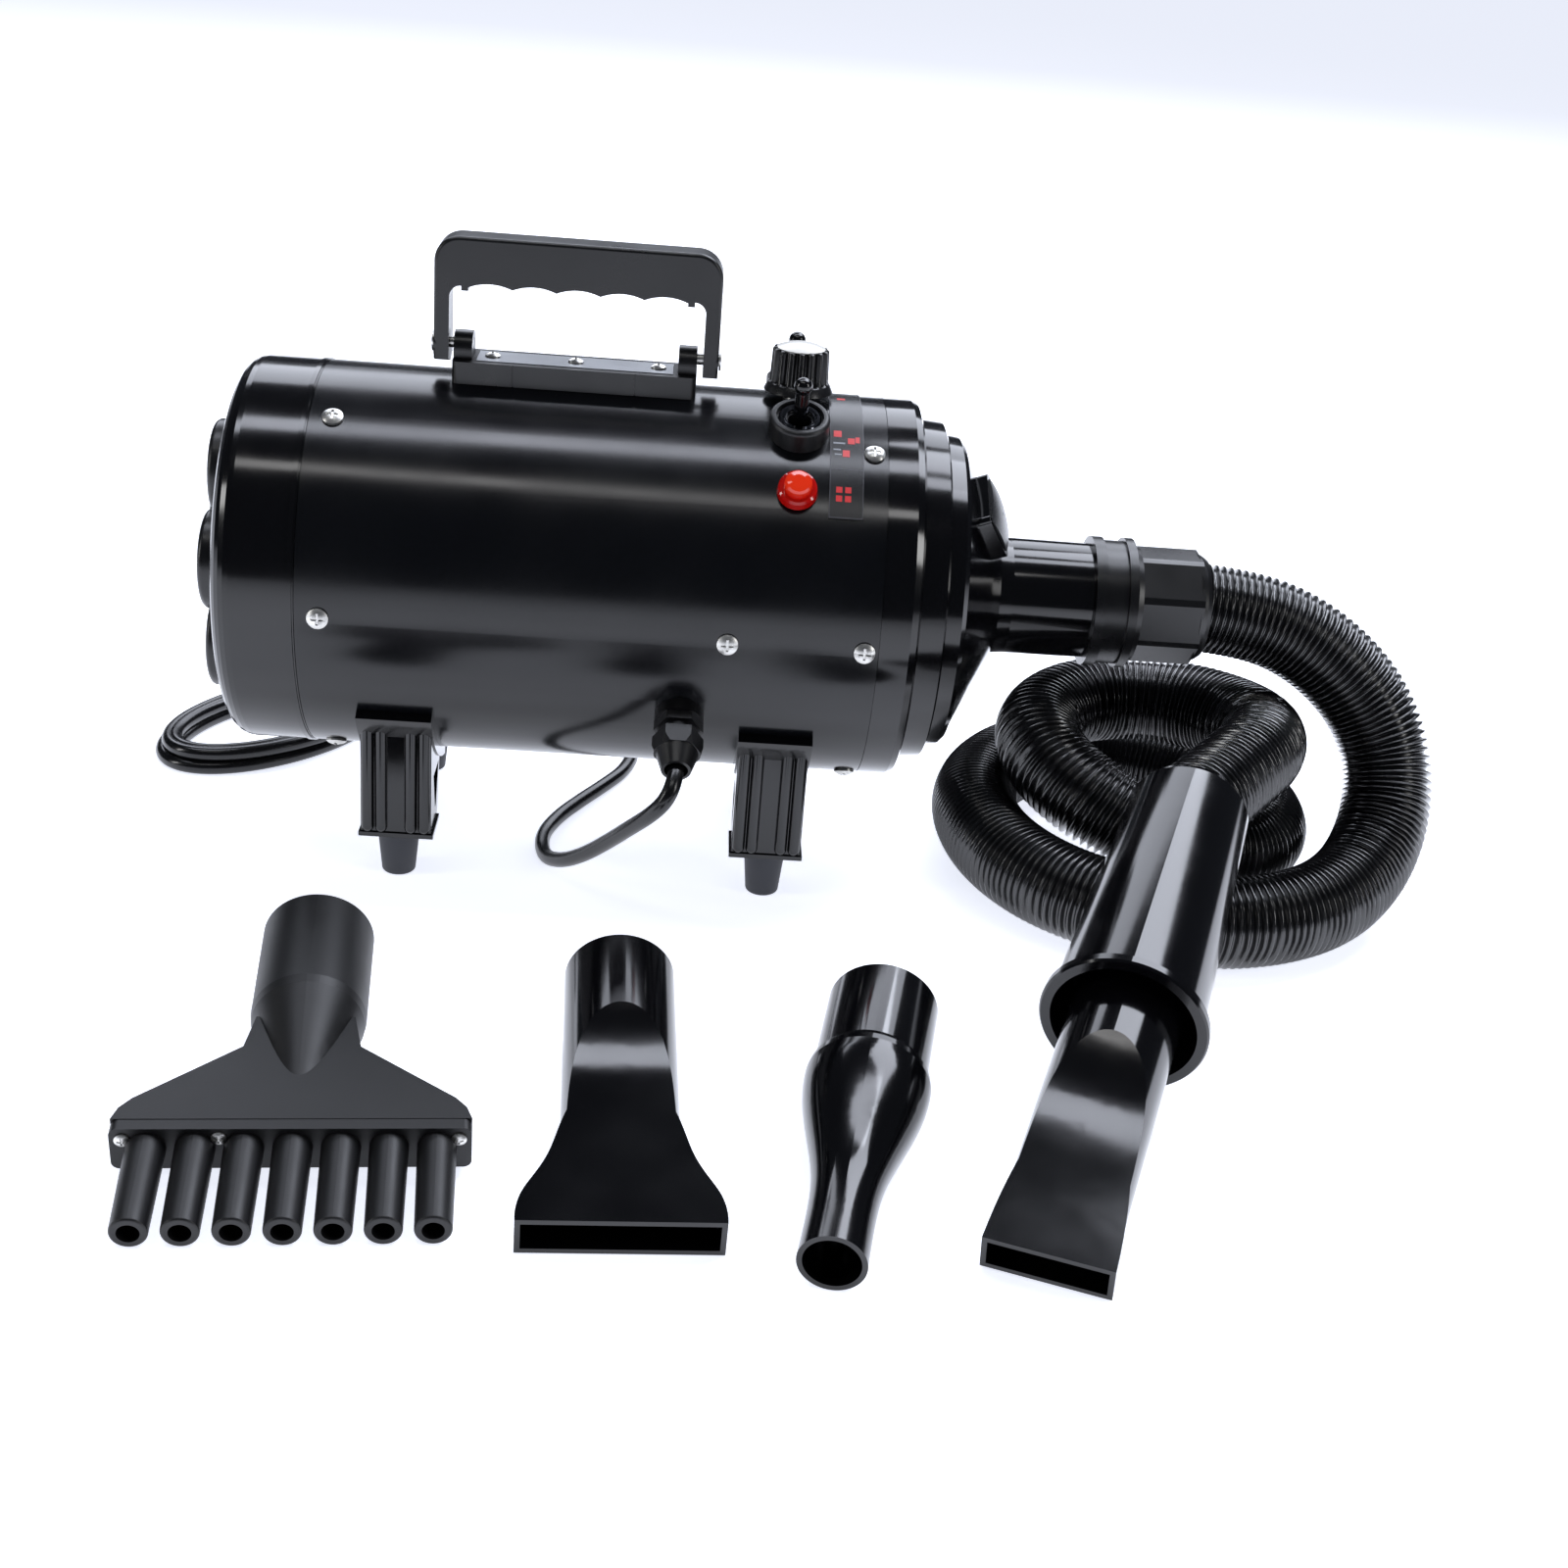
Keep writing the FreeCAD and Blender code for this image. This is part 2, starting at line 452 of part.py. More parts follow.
def handle_parts():
    x0, x1 = HANDLE_X0, HANDLE_X1
    slab = box(x0, x1, -HANDLE_HALF_Y, HANDLE_HALF_Y, HANDLE_PIVOT_Z - 6, HANDLE_TOP)
    slab = soften(slab, 11, lambda e: e.BoundBox.YLength > 15 and e.BoundBox.ZMin > HANDLE_TOP - 1)
    hole = box(x0 + LEG_T, x1 - LEG_T, -20, 20, HANDLE_PIVOT_Z - 10, GRIP_Z0 + 2)
    hole = soften(hole, 5, lambda e: e.BoundBox.YLength > 30 and e.BoundBox.ZMin > GRIP_Z0)
    slab = slab.cut(hole)
    span = x1 - x0 - 2 * LEG_T - 16
    fingers = []
    for k in range(5):
        middle = x0 + LEG_T + 8 + span * (k + 0.5) / 5
        dip = Part.makeCylinder(24, 30, V(middle, -15, GRIP_Z0 - 20.6), Y)
        fingers.append(dip.common(box(middle - span / 10, middle + span / 10, -15, 15, GRIP_Z0 - 2, GRIP_Z0 + 5)))
    grip = box(x0 + LEG_T + 5, x1 - LEG_T - 5, -HANDLE_HALF_Y, HANDLE_HALF_Y, GRIP_Z0, GRIP_Z0 + 3)
    slab = slab.fuse(grip).removeSplitter()
    slab = slab.cut(Part.makeCompound(fingers))
    rim = lambda e: abs(abs(e.CenterOfMass.y) - HANDLE_HALF_Y) < 0.01 and e.CenterOfMass.z > GRIP_Z0 + 6
    slab = soften(slab, 1.6, rim)
    end = rod(8, (x0, 0, HANDLE_PIVOT_Z), (x1, 0, HANDLE_PIVOT_Z)).cut(
        box(x0 + LEG_T, x1 - LEG_T, -30, 30, 60, GRIP_Z0))
    pin_hole = rod(2.56, (x0 - 5, 0, HANDLE_PIVOT_Z), (x1 + 5, 0, HANDLE_PIVOT_Z))
    keep("handle_bail", union([slab, end]).cut(pin_hole))

    base = box(BASE_X0, BASE_X1, -13, 13, 70, BASE_TOP)
    base = soften(base, 3, lambda e: e.BoundBox.ZLength > 10)
    ears = [rod(7.5, (a, 0, HANDLE_PIVOT_Z - 2), (a + 8, 0, HANDLE_PIVOT_Z - 2)).fuse(
        box(a, a + 8, -7.5, 7.5, 80, HANDLE_PIVOT_Z - 2)) for a in (BASE_X0 + 0.2, BASE_X1 - 8.2)]
    base = union([base] + ears).cut(rod(SHELL_R + 0.05, (-100, 0, 0), (100, 0, 0)))
    groove = [box(a - 0.4, a + 0.4, -14, -12.4, 80, BASE_TOP + 1) for a in (-40.2, 12.4)]
    pocket = box(BASE_X0 + 10, BASE_X1 - 10, -9.3, 9.3, BASE_TOP - 1.6, BASE_TOP + 20)
    screws = [(a, b) for a in (-50, -14, 22) for b in (0,)]
    shafts = [rod(1.65, (a, b, 70), (a, b, 100)) for a, b in screws]
    pin = rod(2.5, (BASE_X0 - 30, 0, HANDLE_PIVOT_Z), (BASE_X1 + 30, 0, HANDLE_PIVOT_Z))
    keep("handle_base", base.cut(Part.makeCompound(groove + [pocket, pin] + shafts)))
    strip = box(BASE_X0 + 10.2, BASE_X1 - 10.2, -9, 9, BASE_TOP - 1.5, BASE_TOP + 0.3)
    keep("handle_strip", strip.cut(Part.makeCompound(shafts)))
    heads = [pan_screw(6.5) for _ in screws]
    for head, (a, b) in zip(heads, screws):
        head.scale(0.75)
        head.translate(V(a, b, BASE_TOP + 0.35))
    keep("strip_screws", *heads)
    pins = []
    for start, end, head_x in ((x0 - 1.2, BASE_X0 + 8, x0 - 1.2), (BASE_X1 - 8, x1 + 1.2, x1 + 0.3)):
        pins.append(rod(2.5, (start, 0, HANDLE_PIVOT_Z), (end, 0, HANDLE_PIVOT_Z)).fuse(
            rod(4.4, (head_x, 0, HANDLE_PIVOT_Z), (head_x + 0.9, 0, HANDLE_PIVOT_Z))))
    keep("handle_pins", *pins)


# ---- feet ---------------------------------------------------------------------------------
FOOT_SCREW_ANGLE = -55.0
FOOT_HALF_W, FOOT_BOTTOM = 15.5, -108.0


def foot_block():
    """The foot on the -Y side, centred on x = 0."""
    outline = [(-66, -40), (-66, FOOT_BOTTOM), (-45, FOOT_BOTTOM), (-34, -72), (-34, -40)]
    block = prism(outline, "yz", -FOOT_HALF_W, 2 * FOOT_HALF_W)
    ribs = []
    for x in (-12.4, -6.5, 6.5, 12.4):
        rib = rod(2.8, (x, -66, -52), (x, -66, FOOT_BOTTOM + 4))
        ribs += [rib, Part.makeSphere(2.8, V(x, -66, FOOT_BOTTOM + 4))]
    lip = box(-FOOT_HALF_W - 1, FOOT_HALF_W + 1, -67, -44, FOOT_BOTTOM - 1, FOOT_BOTTOM + 1)
    side_cuts = [prism([(-58, -82), (-52, FOOT_BOTTOM + 8), (-49, FOOT_BOTTOM + 8), (-40, -82)], "yz", s, 3)
                 for s in (-FOOT_HALF_W - 1, FOOT_HALF_W - 2)]
    saddle = tube_x(SHELL_R + 4.5, SHELL_R, -FOOT_HALF_W - 0.7, FOOT_HALF_W + 0.7)
    saddle = saddle.common(prism([(0, 0), (-120, -78), (-120, -160), (-40, -160)], "yz", -30, 60))
    foot = union([block.cut(Part.makeCompound(side_cuts)), lip, saddle] + ribs)
    return foot.cut(rod(SHELL_R + 0.05, (-40, 0, 0), (40, 0, 0)))


def foot_parts():
    screw = union([rod(SCREW_SHANK_R, (0, 0, 82.9), (0, 0, 97)), cone(4.2, 3.4, 2.4, V(0, 0, 81.2))])
    screw.rotate(O, X, 90 - FOOT_SCREW_ANGLE)
    hole = rod(SCREW_SHANK_R + 0.1, (0, 0, 60), (0, 0, 98))
    hole.rotate(O, X, 90 - FOOT_SCREW_ANGLE)
    socket = rod(5.1, (0, -FOOT_Y, FOOT_BOTTOM - 2), (0, -FOOT_Y, FOOT_BOTTOM + 9))
    foot = foot_block().cut(union([hole, socket]))
    tip = union([rod(5.0, (0, -FOOT_Y, FOOT_BOTTOM - 1.5), (0, -FOOT_Y, FOOT_BOTTOM + 8)),
                 soften(cone(7.4, 9.4, FOOT_BOTTOM - 1.05 - FLOOR, V(0, -FOOT_Y, FLOOR)), 1.6,
                        lambda e: e.BoundBox.ZMax < FLOOR + 0.1)])
    tips, screws = [], []
    for end, x in (("front", FOOT_X), ("rear", -FOOT_X)):
        for side in ("right", "left"):
            pieces = [foot, tip, screw] if side == "right" else [mirrored_y(s) for s in (foot, tip, screw)]
            placed = [piece.copy() for piece in pieces]
            for piece in placed:
                piece.translate(V(x, 0, 0))
            keep(f"foot_{end}_{side}", placed[0])
            tips.append(placed[1])
            screws.append(placed[2])
    keep("foot_tips", *tips)
    keep("foot_screws", *screws)


# ---- cord gland, power cord, plug ---------------------------------------------------------
GLAND_END = 116.0


def hexagon(across, z0, z1):
    r = across / math.sqrt(3)
    corners = [math.radians(60 * k) for k in range(6)]
    return prism([(r * math.cos(a), r * math.sin(a)) for a in corners], "xy", z0, z1 - z0)


def gland_parts():
    bore = rod(CORD_R + 0.4, (0, 0, 60), (0, 0, 130))
    body = union([rod(7.6, (0, 0, 78), (0, 0, SHELL_R + 2)), hexagon(18.4, SHELL_R + 4.9, SHELL_R + 9.5),
                  rod(10.6, (0, 0, SHELL_R - 0.85), (0, 0, SHELL_R + 5)),
                  rod(8, (0, 0, SHELL_R + 9), (0, 0, SHELL_R + 13))])
    body = body.cut(rod(SHELL_R + 0.05, (-30, 0, 0), (30, 0, 0)).cut(rod(7.6, (0, 0, 70), (0, 0, 95))))
    keep("gland_body", radial(body.cut(bore), GLAND_X, GLAND_ANGLE))
    z0 = SHELL_R + 13.1
    grip = hexagon(19, z0, z0 + 9).common(cone(12, 10, 9, V(0, 0, z0)))
    dome = cone(9.2, 6.4, GLAND_END - z0 - 8.9, V(0, 0, z0 + 8.9))
    throat = cone(CORD_R + 0.4, CORD_R + 1.6, 4, V(0, 0, GLAND_END - 4))
    nut = union([grip, dome]).cut(union([bore, throat]))
    keep("gland_nut", radial(nut, GLAND_X, GLAND_ANGLE))


def gland_point(radius):
    a = math.radians(GLAND_ANGLE)
    return (GLAND_X, -radius * math.cos(a), radius * math.sin(a))


CORD_FLOOR = FLOOR + CORD_R
HANK_MID, HANK_TURN = (-163.0, 86.0), 50.0
HANK_A, HANK_B, HANK_W, HANK_H = 63.0, 33.0, 22.0, 16.0


def on_hank(t, grow=0.0):
    """A point of the hank's middle oval, t degrees round it."""
    turn, t = math.radians(HANK_TURN), math.radians(t)
    a, b = (HANK_A + grow) * math.cos(t), (HANK_B + grow) * math.sin(t)
    return (HANK_MID[0] + a * math.cos(turn) - b * math.sin(turn),
            HANK_MID[1] + a * math.sin(turn) + b * math.cos(turn))


CORD_ROUTE = [
    gland_point(GLAND_END - 1), (39.6, -110, -53.6), (36.5, -114.5, -60.5), (30.5, -111, -69),
    (22.5, -101, -80), (12, -86, -95.5), (1.5, -73, -109), (-9, -60, -119.5), (-18, -44, CORD_FLOOR + 0.4),
    (-21, -22, CORD_FLOOR), (-15, -1, CORD_FLOOR), (-5, 19, CORD_FLOOR), (5, 37, CORD_FLOOR),
    (15, 57, CORD_FLOOR), (19, 82, CORD_FLOOR), (8, 105, CORD_FLOOR), (-18, 119, CORD_FLOOR),
    (-48, 125, CORD_FLOOR), (-78, 130, CORD_FLOOR), (-104, 138, CORD_FLOOR), (-131, 138, CORD_FLOOR)]


def cord_parts():
    keep("power_cord", swept(CORD_ROUTE, CORD_R, 0, "power_cord"))
    half = HANK_W / 2

    def oval(grow, z, height):
        ring = Part.Ellipse(O, HANK_A + grow, HANK_B + grow)
        face = Part.Face(Part.Wire(ring.toShape()))
        face.rotate(O, Z, HANK_TURN)
        face.translate(V(HANK_MID[0], HANK_MID[1], z))
        return face.extrude(V(0, 0, height))

    keep("cord_hank", oval(half, FLOOR, HANK_H).cut(oval(-half, FLOOR - 1, HANK_H + 2)))


PLUG_AT, PLUG_HEADING = (-124.0, 166.0), 105.0


def plug_parts():
    """A plain two-pin plug that lies on its flat beside the hank."""
    thick = 7.0
    side = [(0, -5), (8, -8), (22, -13), (33, -13)]
    body = prism(side + [(a, -b) for a, b in reversed(side)], "xy", -thick, 2 * thick)
    body = soften(body, 2.5, lambda e: e.BoundBox.ZLength < 0.01 and abs(abs(e.CenterOfMass.z) - thick) < 0.1)
    sleeve = cone(3.9, 5.2, 22, V(-21, 0, 0), X)
    pins = [rod(2.0, (26, s, 0), (33 + 19, s, 0)) for s in (-9.5, 9.5)]
    shapes = {"power_plug": union([body, sleeve]).cut(union(pins)), "plug_pins": Part.makeCompound(pins)}
    for name, shape in shapes.items():
        shape.rotate(O, Z, PLUG_HEADING)
        shape.translate(V(PLUG_AT[0], PLUG_AT[1], FLOOR + thick))
        keep(name, shape)


# ---- hose ---------------------------------------------------------------------------------
CUFF_X0, CUFF_X1 = 223.0, 277.0
HOSE_LOW = FLOOR + HOSE_R


def hose_cuff():
    octagon = [(27 * math.cos(math.radians(22.5 + 45 * k)), 27 * math.sin(math.radians(22.5 + 45 * k)))
               for k in range(8)]
    grip = prism(octagon, "yz", 244, 29).common(rod(26.4, (240, 0, 0), (280, 0, 0)))
    rings = spin([(CUFF_X0, 0), (CUFF_X0, 29.6), (228, 29.6), (228, 28.2), (238, 28.2), (238, 29.8),
                  (242, 29.8), (242, 27.5), (245, 26.4), (245, 0)])
    end = spin([(272, 0), (272, 25.5), (275, 24), (CUFF_X1, 22.6), (CUFF_X1, 0)])
    bores = union([rod(OUTLET_R + 0.1, (CUFF_X0 - 1, 0, 0), (OUTLET_END + 0.5, 0, 0)),
                   rod(HOSE_R - 1.5, (220, 0, 0), (280, 0, 0))])
    return union([rings, grip, end]).cut(bores)


MOUTH = V(174.0, -338.0, -122.0)
HAND_TOP = V(262.0, -97.0, -58.5)
HAND_RUN = (MOUTH - HAND_TOP).normalize()
HAND_CUFF_LEN = 139.0
HOSE_ROUTE = [
    (CUFF_X1, 0, 0), (298, 0, -1.5), (322, -2, -8), (345, -6, -22), (363, -11, -41), (373, -20, -64),
    (371, -36, -88), (357, -58, -104), (334, -82, HOSE_LOW + 0.5), (303, -99, HOSE_LOW),
    (270, -104, HOSE_LOW), (238, -95, HOSE_LOW), (209, -74, HOSE_LOW), (190, -42, HOSE_LOW),
    (183, -4, HOSE_LOW), (190, 34, HOSE_LOW), (213, 66, HOSE_LOW), (248, 80, HOSE_LOW),
    (286, 73, HOSE_LOW), (315, 50, HOSE_LOW), (329, 17, HOSE_LOW), (322, -18, HOSE_LOW + 1),
    (298, -43, -106), (264, -52, -95), (231, -43, -82), (211, -19, -73), (210, 11, -68), (228, 34, -65),
    (255, 43, -64), (284, 36, -62), (306, 15, -60), (313, -14, -56), (304, -44, -52),
    (286, -70, -52.5), tuple(HAND_TOP)]


def along_hand(shape, start=HAND_TOP):
    """Lays a shape built along +X, its top face up, on the line of the hand cuff."""
    placed = shape.copy()
    placed.rotate(O, Y, math.degrees(math.asin(-HAND_RUN.z)))
    placed.rotate(O, Z, math.degrees(math.atan2(HAND_RUN.y, HAND_RUN.x)))
    placed.translate(start)
    return placed


NARROW_R, NARROW_LEN, NARROW_IN = PLUG_IN_R, 149.0, 26.0


def hand_cuff():
    length = HAND_CUFF_LEN
    outer = [(0, 22.4), (0, 24.5), (3, 25.6), (length - 4, 30), (length - 4, 33), (length - 1, 33),
             (length, 32.3)]
    seat = length - NARROW_IN - 1
    inner = [(length, 28.5), (seat + 4, 24.5), (seat, NARROW_R + 0.1), (seat - 6, NARROW_R - 1.5),
             (2, HOSE_R - 1.2), (0, HOSE_R - 1.2)]
    return along_hand(spin(outer + inner))


# ---- nozzles, built along +X from the socket end, the wide faces up and down ---------------
WALL = 2.0


CLEAR = 80.0                  # further out than any nozzle reaches


def wedge(heights, inset=0.0):
    """The room between an upper and a lower face that close along smooth curves of (along, height)."""
    up = [V(a, -CLEAR, b - inset) for a, b in heights]
    down = [V(p.x, -CLEAR, -p.z) for p in up]
    back = [V(up[0].x, -CLEAR, CLEAR), V(-2, -CLEAR, CLEAR), V(-2, -CLEAR, -CLEAR), V(up[0].x, -CLEAR, -CLEAR)]
    edges = [smooth_edge(up), smooth_edge(down)] + lines(up[0], *back, down[0]) + lines(up[-1], down[-1])
    return face_of(edges).extrude(Y * 2 * CLEAR)


def flared_slab(plan, inset=0.0):
    """A slab with smooth sides through the (along, half width) points."""
    near = [V(a, b - inset, -CLEAR) for a, b in plan]
    far = [V(p.x, -p.y, -CLEAR) for p in near]
    edges = [smooth_edge(near), smooth_edge(far)] + lines(near[0], far[0]) + lines(near[-1], far[-1])
    return face_of(edges).extrude(Z * 2 * CLEAR)


def flat_nozzle(r, length, heights, plan):
    """A tube that closes to a slot: heights shape its wide faces, plan the flare of its sides."""
    def body(inset, start):
        tube = rod(r - inset, (start, 0, 0), (length, 0, 0))
        return union([tube, flared_slab(plan, inset)]).common(wedge(heights, inset))
    return body(0.0, 0).cut(body(WALL, -1))


NARROW_PLAN = [(90, 15.2), (106, 19.0), (124, 21.6), (NARROW_LEN, 23.2)]
NARROW_HEIGHTS = [(50, NARROW_R + 0.6), (58, 18.2), (68, 14.4), (80, 11.4), (95, 9.3), (115, 8.0),
                  (NARROW_LEN, 7.4)]


def narrow_nozzle():
    nozzle = flat_nozzle(NARROW_R, NARROW_LEN, NARROW_HEIGHTS, NARROW_PLAN)
    return along_hand(nozzle, HAND_TOP + HAND_RUN * (HAND_CUFF_LEN - NARROW_IN))


LAID_GAP = 0.4


def lay(shape, far_end, heading, rear_rest, front_rest):
    """Lays a loose nozzle on the floor, on two (along, radius) points of its underside.

    far_end is the middle of its socket end seen from above, heading the way its mouth points.
    """
    (s0, r0), (s1, r1) = rear_rest, front_rest
    nose_down = math.atan2(r0 - r1, s1 - s0)
    lift = s0 * math.sin(nose_down) + r0 * math.cos(nose_down) + LAID_GAP
    placed = shape.copy()
    placed.rotate(O, Y, math.degrees(nose_down))
    placed.rotate(O, Z, heading)
    placed.translate(V(far_end[0], far_end[1], FLOOR + lift))
    return placed


WIDE_R, WIDE_LEN = PLUG_IN_R, 141.0
WIDE_PLAN = [(84, 18), (92, 21.1), (100, 23.2), (108, 25.4), (115, 28.2), (121, 31.2), (127, 34),
             (133, 35.6), (WIDE_LEN, 36)]
WIDE_HEIGHTS = [(40, WIDE_R + 0.6), (48, 18.0), (58, 14.4), (70, 11.4), (82, 9.6), (97, 8.4), (117, 7.8),
                (WIDE_LEN, 7.6)]


def wide_nozzle():
    nozzle = flat_nozzle(WIDE_R, WIDE_LEN, WIDE_HEIGHTS, WIDE_PLAN)
    return lay(nozzle, (22.5, -190.0), -86.8, (41.0, WIDE_R), (WIDE_LEN, 7.6))


ROUND_LEN, ROUND_R, BULGE_R, TIP_R = 140.0, PLUG_IN_R, 23.8, 12.2
BULGE_S = 48.0


def round_nozzle():
    taper = [(BULGE_S, BULGE_R), (60, 22.6), (75, 19.2), (88, 15.8), (101, 13.2), (118, 12.1), (ROUND_LEN, TIP_R)]
    outer = [V(a, 0, b) for a, b in taper]
    inner = [V(a, 0, b - WALL) for a, b in taper]
    shoulder = [V(BULGE_S - 3, 0, BULGE_R - 0.3), V(41, 0, ROUND_R), V(0, 0, ROUND_R), V(0, 0, ROUND_R - WALL),
                V(41, 0, ROUND_R - WALL)]
    edges = [smooth_edge(outer), smooth_edge(inner)] + lines(outer[0], *shoulder, inner[0])
    nozzle = face_of(edges + lines(outer[-1], inner[-1])).revolve(O, X, 360)
    return lay(nozzle, (125.5, -207.0), -100.2, (BULGE_S, BULGE_R), (ROUND_LEN, TIP_R))


COMB_R, COMB_FACE, TINE_LEN, TINE_R, TINE_PITCH = PLUG_IN_R, 121.0, 41.0, 6.5, 16.6
COMB_HALF_H = 9.0
COMB_LEN = COMB_FACE + TINE_LEN
COMB_TUBE_LEN = 50.0
COMB_PLACE = ((-97.5, -174.0), -84.6, (COMB_TUBE_LEN + 2, COMB_R), (COMB_LEN, TINE_R))
TINES = 7


def comb_parts():
    plan = [(60, 18), (77, 21), (105, 56), (110, 60), (COMB_FACE - 5, 62)]
    plan += [(a, -b) for a, b in reversed(plan)]
    inner_plan = [(60, 15), (77, 18.3), (106, 54), (111, 57.5), (COMB_FACE, 59)]
    inner_plan += [(a, -b) for a, b in reversed(inner_plan)]
    slab = prism(plan, "xy", -COMB_HALF_H, 2 * COMB_HALF_H)
    hollow = prism(inner_plan, "xy", 2.4 - COMB_HALF_H, 2 * COMB_HALF_H - 4.8)
    end = COMB_TUBE_LEN
    taper = spin([(0, 0), (0, COMB_R), (end, COMB_R), (end + 4, COMB_R - 0.5), (end + 46, 8), (end + 46, 0)])
    bore = spin([(-1, 0), (-1, COMB_R - WALL), (end, COMB_R - WALL), (end + 40, 7), (end + 40, 0)])
    body = union([slab, taper]).cut(union([hollow, bore]))
    screw_at = [(-57.5, 4.0), (-24.9, 4.8), (57.5, 4.0)]
    body = body.cut(box(COMB_FACE - 5.1, COMB_FACE + 1, -80, 80, -40, 40))
    plate = box(COMB_FACE - 5, COMB_FACE, -62, 62, -COMB_HALF_H - 0.4, COMB_HALF_H - 0.2)
    plate = soften(plate, 3, lambda e: e.BoundBox.XLength > 4)
    tines, bores = [], []
    for k in range(TINES):
        y = (k - (TINES - 1) / 2) * TINE_PITCH
        tine = cone(TINE_R + 0.5, TINE_R, TINE_LEN + 3, V(COMB_FACE - 3, y, 0), X)
        tines.append(soften(tine, 1.0, lambda e: e.BoundBox.XMin > COMB_LEN - 0.1))
        bores.append(rod(TINE_R - 2.6, (COMB_FACE - 9, y, 0), (COMB_LEN + 1, y, 0)))
    holes = [rod(1.6, (COMB_FACE - 12, a, b), (COMB_FACE + 1, a, b)) for a, b in screw_at]
    screws = []
    for a, b in screw_at:
        screw = pan_screw(6)
        screw.scale(0.6)
        screw.rotate(O, Y, 90)
        screw.translate(V(COMB_FACE + 0.05, a, b))
        screws.append(screw)
    keep("comb_body", lay(body, *COMB_PLACE))
    keep("comb_plate", lay(union([plate] + tines).cut(Part.makeCompound(bores + holes)), *COMB_PLACE))
    keep("comb_screws", *[lay(screw, *COMB_PLACE) for screw in screws])


# ---- everything ---------------------------------------------------------------------------
def main():
    keep("body_shell", body_shell())
    keep("rear_cap", rear_cap())
    keep("inlet_cover", inlet_cover())
    keep("foam_filter", foam_filter())
    screws = [pan_screw(6.0) for _ in case_screw_places()]
    for screw in screws:
        screw.translate(V(0, 0, SHELL_R + 0.05))
    keep("case_screws", *[radial(s, x, a) for s, (x, a) in zip(screws, case_screw_places())])
    keep("front_cap", front_cap())
    keep("outlet_cone", union([outlet_cone(), badge_pad()]))
    keep("badge", badge())
    motor_parts()
    heater_parts()
    control_parts()
    handle_parts()
    foot_parts()
    gland_parts()
    cord_parts()
    plug_parts()
    keep("hose_cuff", hose_cuff())
    keep("hand_cuff", hand_cuff())
    keep("air_hose", swept(HOSE_ROUTE, HOSE_R, HOSE_R - HOSE_T, "air_hose"))
    keep("narrow_nozzle", narrow_nozzle())
    keep("wide_nozzle", wide_nozzle())
    keep("round_nozzle", round_nozzle())
    comb_parts()
    for name, shape in NODES.items():
        shape.translate(V(SHIFT_X, SHIFT_Y, AXIS_HEIGHT))
        shape.exportStep(f"parts/{name}.step")
        print(f"{name}: {len(shape.Solids)} solids, {shape.Volume / 1000:.2f} cm3, valid {shape.isValid()}")


main()
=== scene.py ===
# %% [markdown]
# # A grooming dryer, dressed around its CAD frame
# The dryer is a barrel of painted steel between two moulded caps, with a ribbed hose and a set of
# slip-on nozzles. Every shape that carries load or moves comes from the CAD frame, in metres, with
# +X to the air outlet and +Z up. This script gives those shapes real finishes and adds what is
# flexible, ribbed or printed.
# %% Load the frame
import math

import bpy
import numpy as np
from mathutils import Matrix, Vector


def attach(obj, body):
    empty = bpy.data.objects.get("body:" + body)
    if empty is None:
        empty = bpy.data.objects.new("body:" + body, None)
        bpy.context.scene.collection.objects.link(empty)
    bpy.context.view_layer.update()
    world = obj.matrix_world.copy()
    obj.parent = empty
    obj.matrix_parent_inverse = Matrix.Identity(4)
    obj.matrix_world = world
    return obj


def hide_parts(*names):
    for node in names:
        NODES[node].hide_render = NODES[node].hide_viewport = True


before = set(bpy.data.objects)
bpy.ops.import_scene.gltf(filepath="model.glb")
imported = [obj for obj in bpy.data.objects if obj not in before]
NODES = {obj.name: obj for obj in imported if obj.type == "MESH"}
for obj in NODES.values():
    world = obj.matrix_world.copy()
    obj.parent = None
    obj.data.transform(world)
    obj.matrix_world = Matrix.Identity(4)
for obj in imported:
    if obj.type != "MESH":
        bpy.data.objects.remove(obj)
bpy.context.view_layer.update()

AXIS = Vector((-0.0594, 0.1294, 0.130))      # the middle of the body, on its axis
# angles round the barrel, in degrees from the camera side upwards
LAMP_DEGREES, FRONT_DEGREES, KNOB_DEGREES, REAR_DEGREES, LABEL_BOTTOM = 45.0, 67.5, 90.0, 112.5, 38.0

# %% [markdown]
# ## The camera
# It stands about a metre in front of the controls and looks down on them by some 25 degrees, so
# the hose lies towards the right and the loose nozzles line up at the bottom. The position and the
# three turns are given, because a camera that is aimed at a target can't also be tipped on its
# side, and this one leans by five degrees.
# %% Place the camera
CAMERA_AT = AXIS + Vector((0.03661, -0.91061, 0.31985))
YAW, PITCH, ROLL = 0.0610, 0.4334, 0.0859      # radians: to the right, down, and over on its side
LENS, SENSOR = 48.342, 36.0

aim = Vector((math.sin(YAW) * math.cos(PITCH), math.cos(YAW) * math.cos(PITCH), -math.sin(PITCH)))
level = Vector((math.cos(YAW), -math.sin(YAW), 0))
upright = level.cross(aim)
right = math.cos(ROLL) * level + math.sin(ROLL) * upright
up = math.cos(ROLL) * upright - math.sin(ROLL) * level
camera = bpy.data.objects.new("camera", bpy.data.cameras.new("camera"))
bpy.context.scene.collection.objects.link(camera)
camera.data.lens, camera.data.sensor_width = LENS, SENSOR
camera.data.clip_start, camera.data.clip_end = 0.05, 60
facing = Matrix((right, up, -aim)).transposed().to_4x4()
camera.matrix_world = Matrix.Translation(CAMERA_AT) @ facing
bpy.context.scene.camera = camera
print("camera at", tuple(round(v, 3) for v in CAMERA_AT), "lens", LENS, "mm")
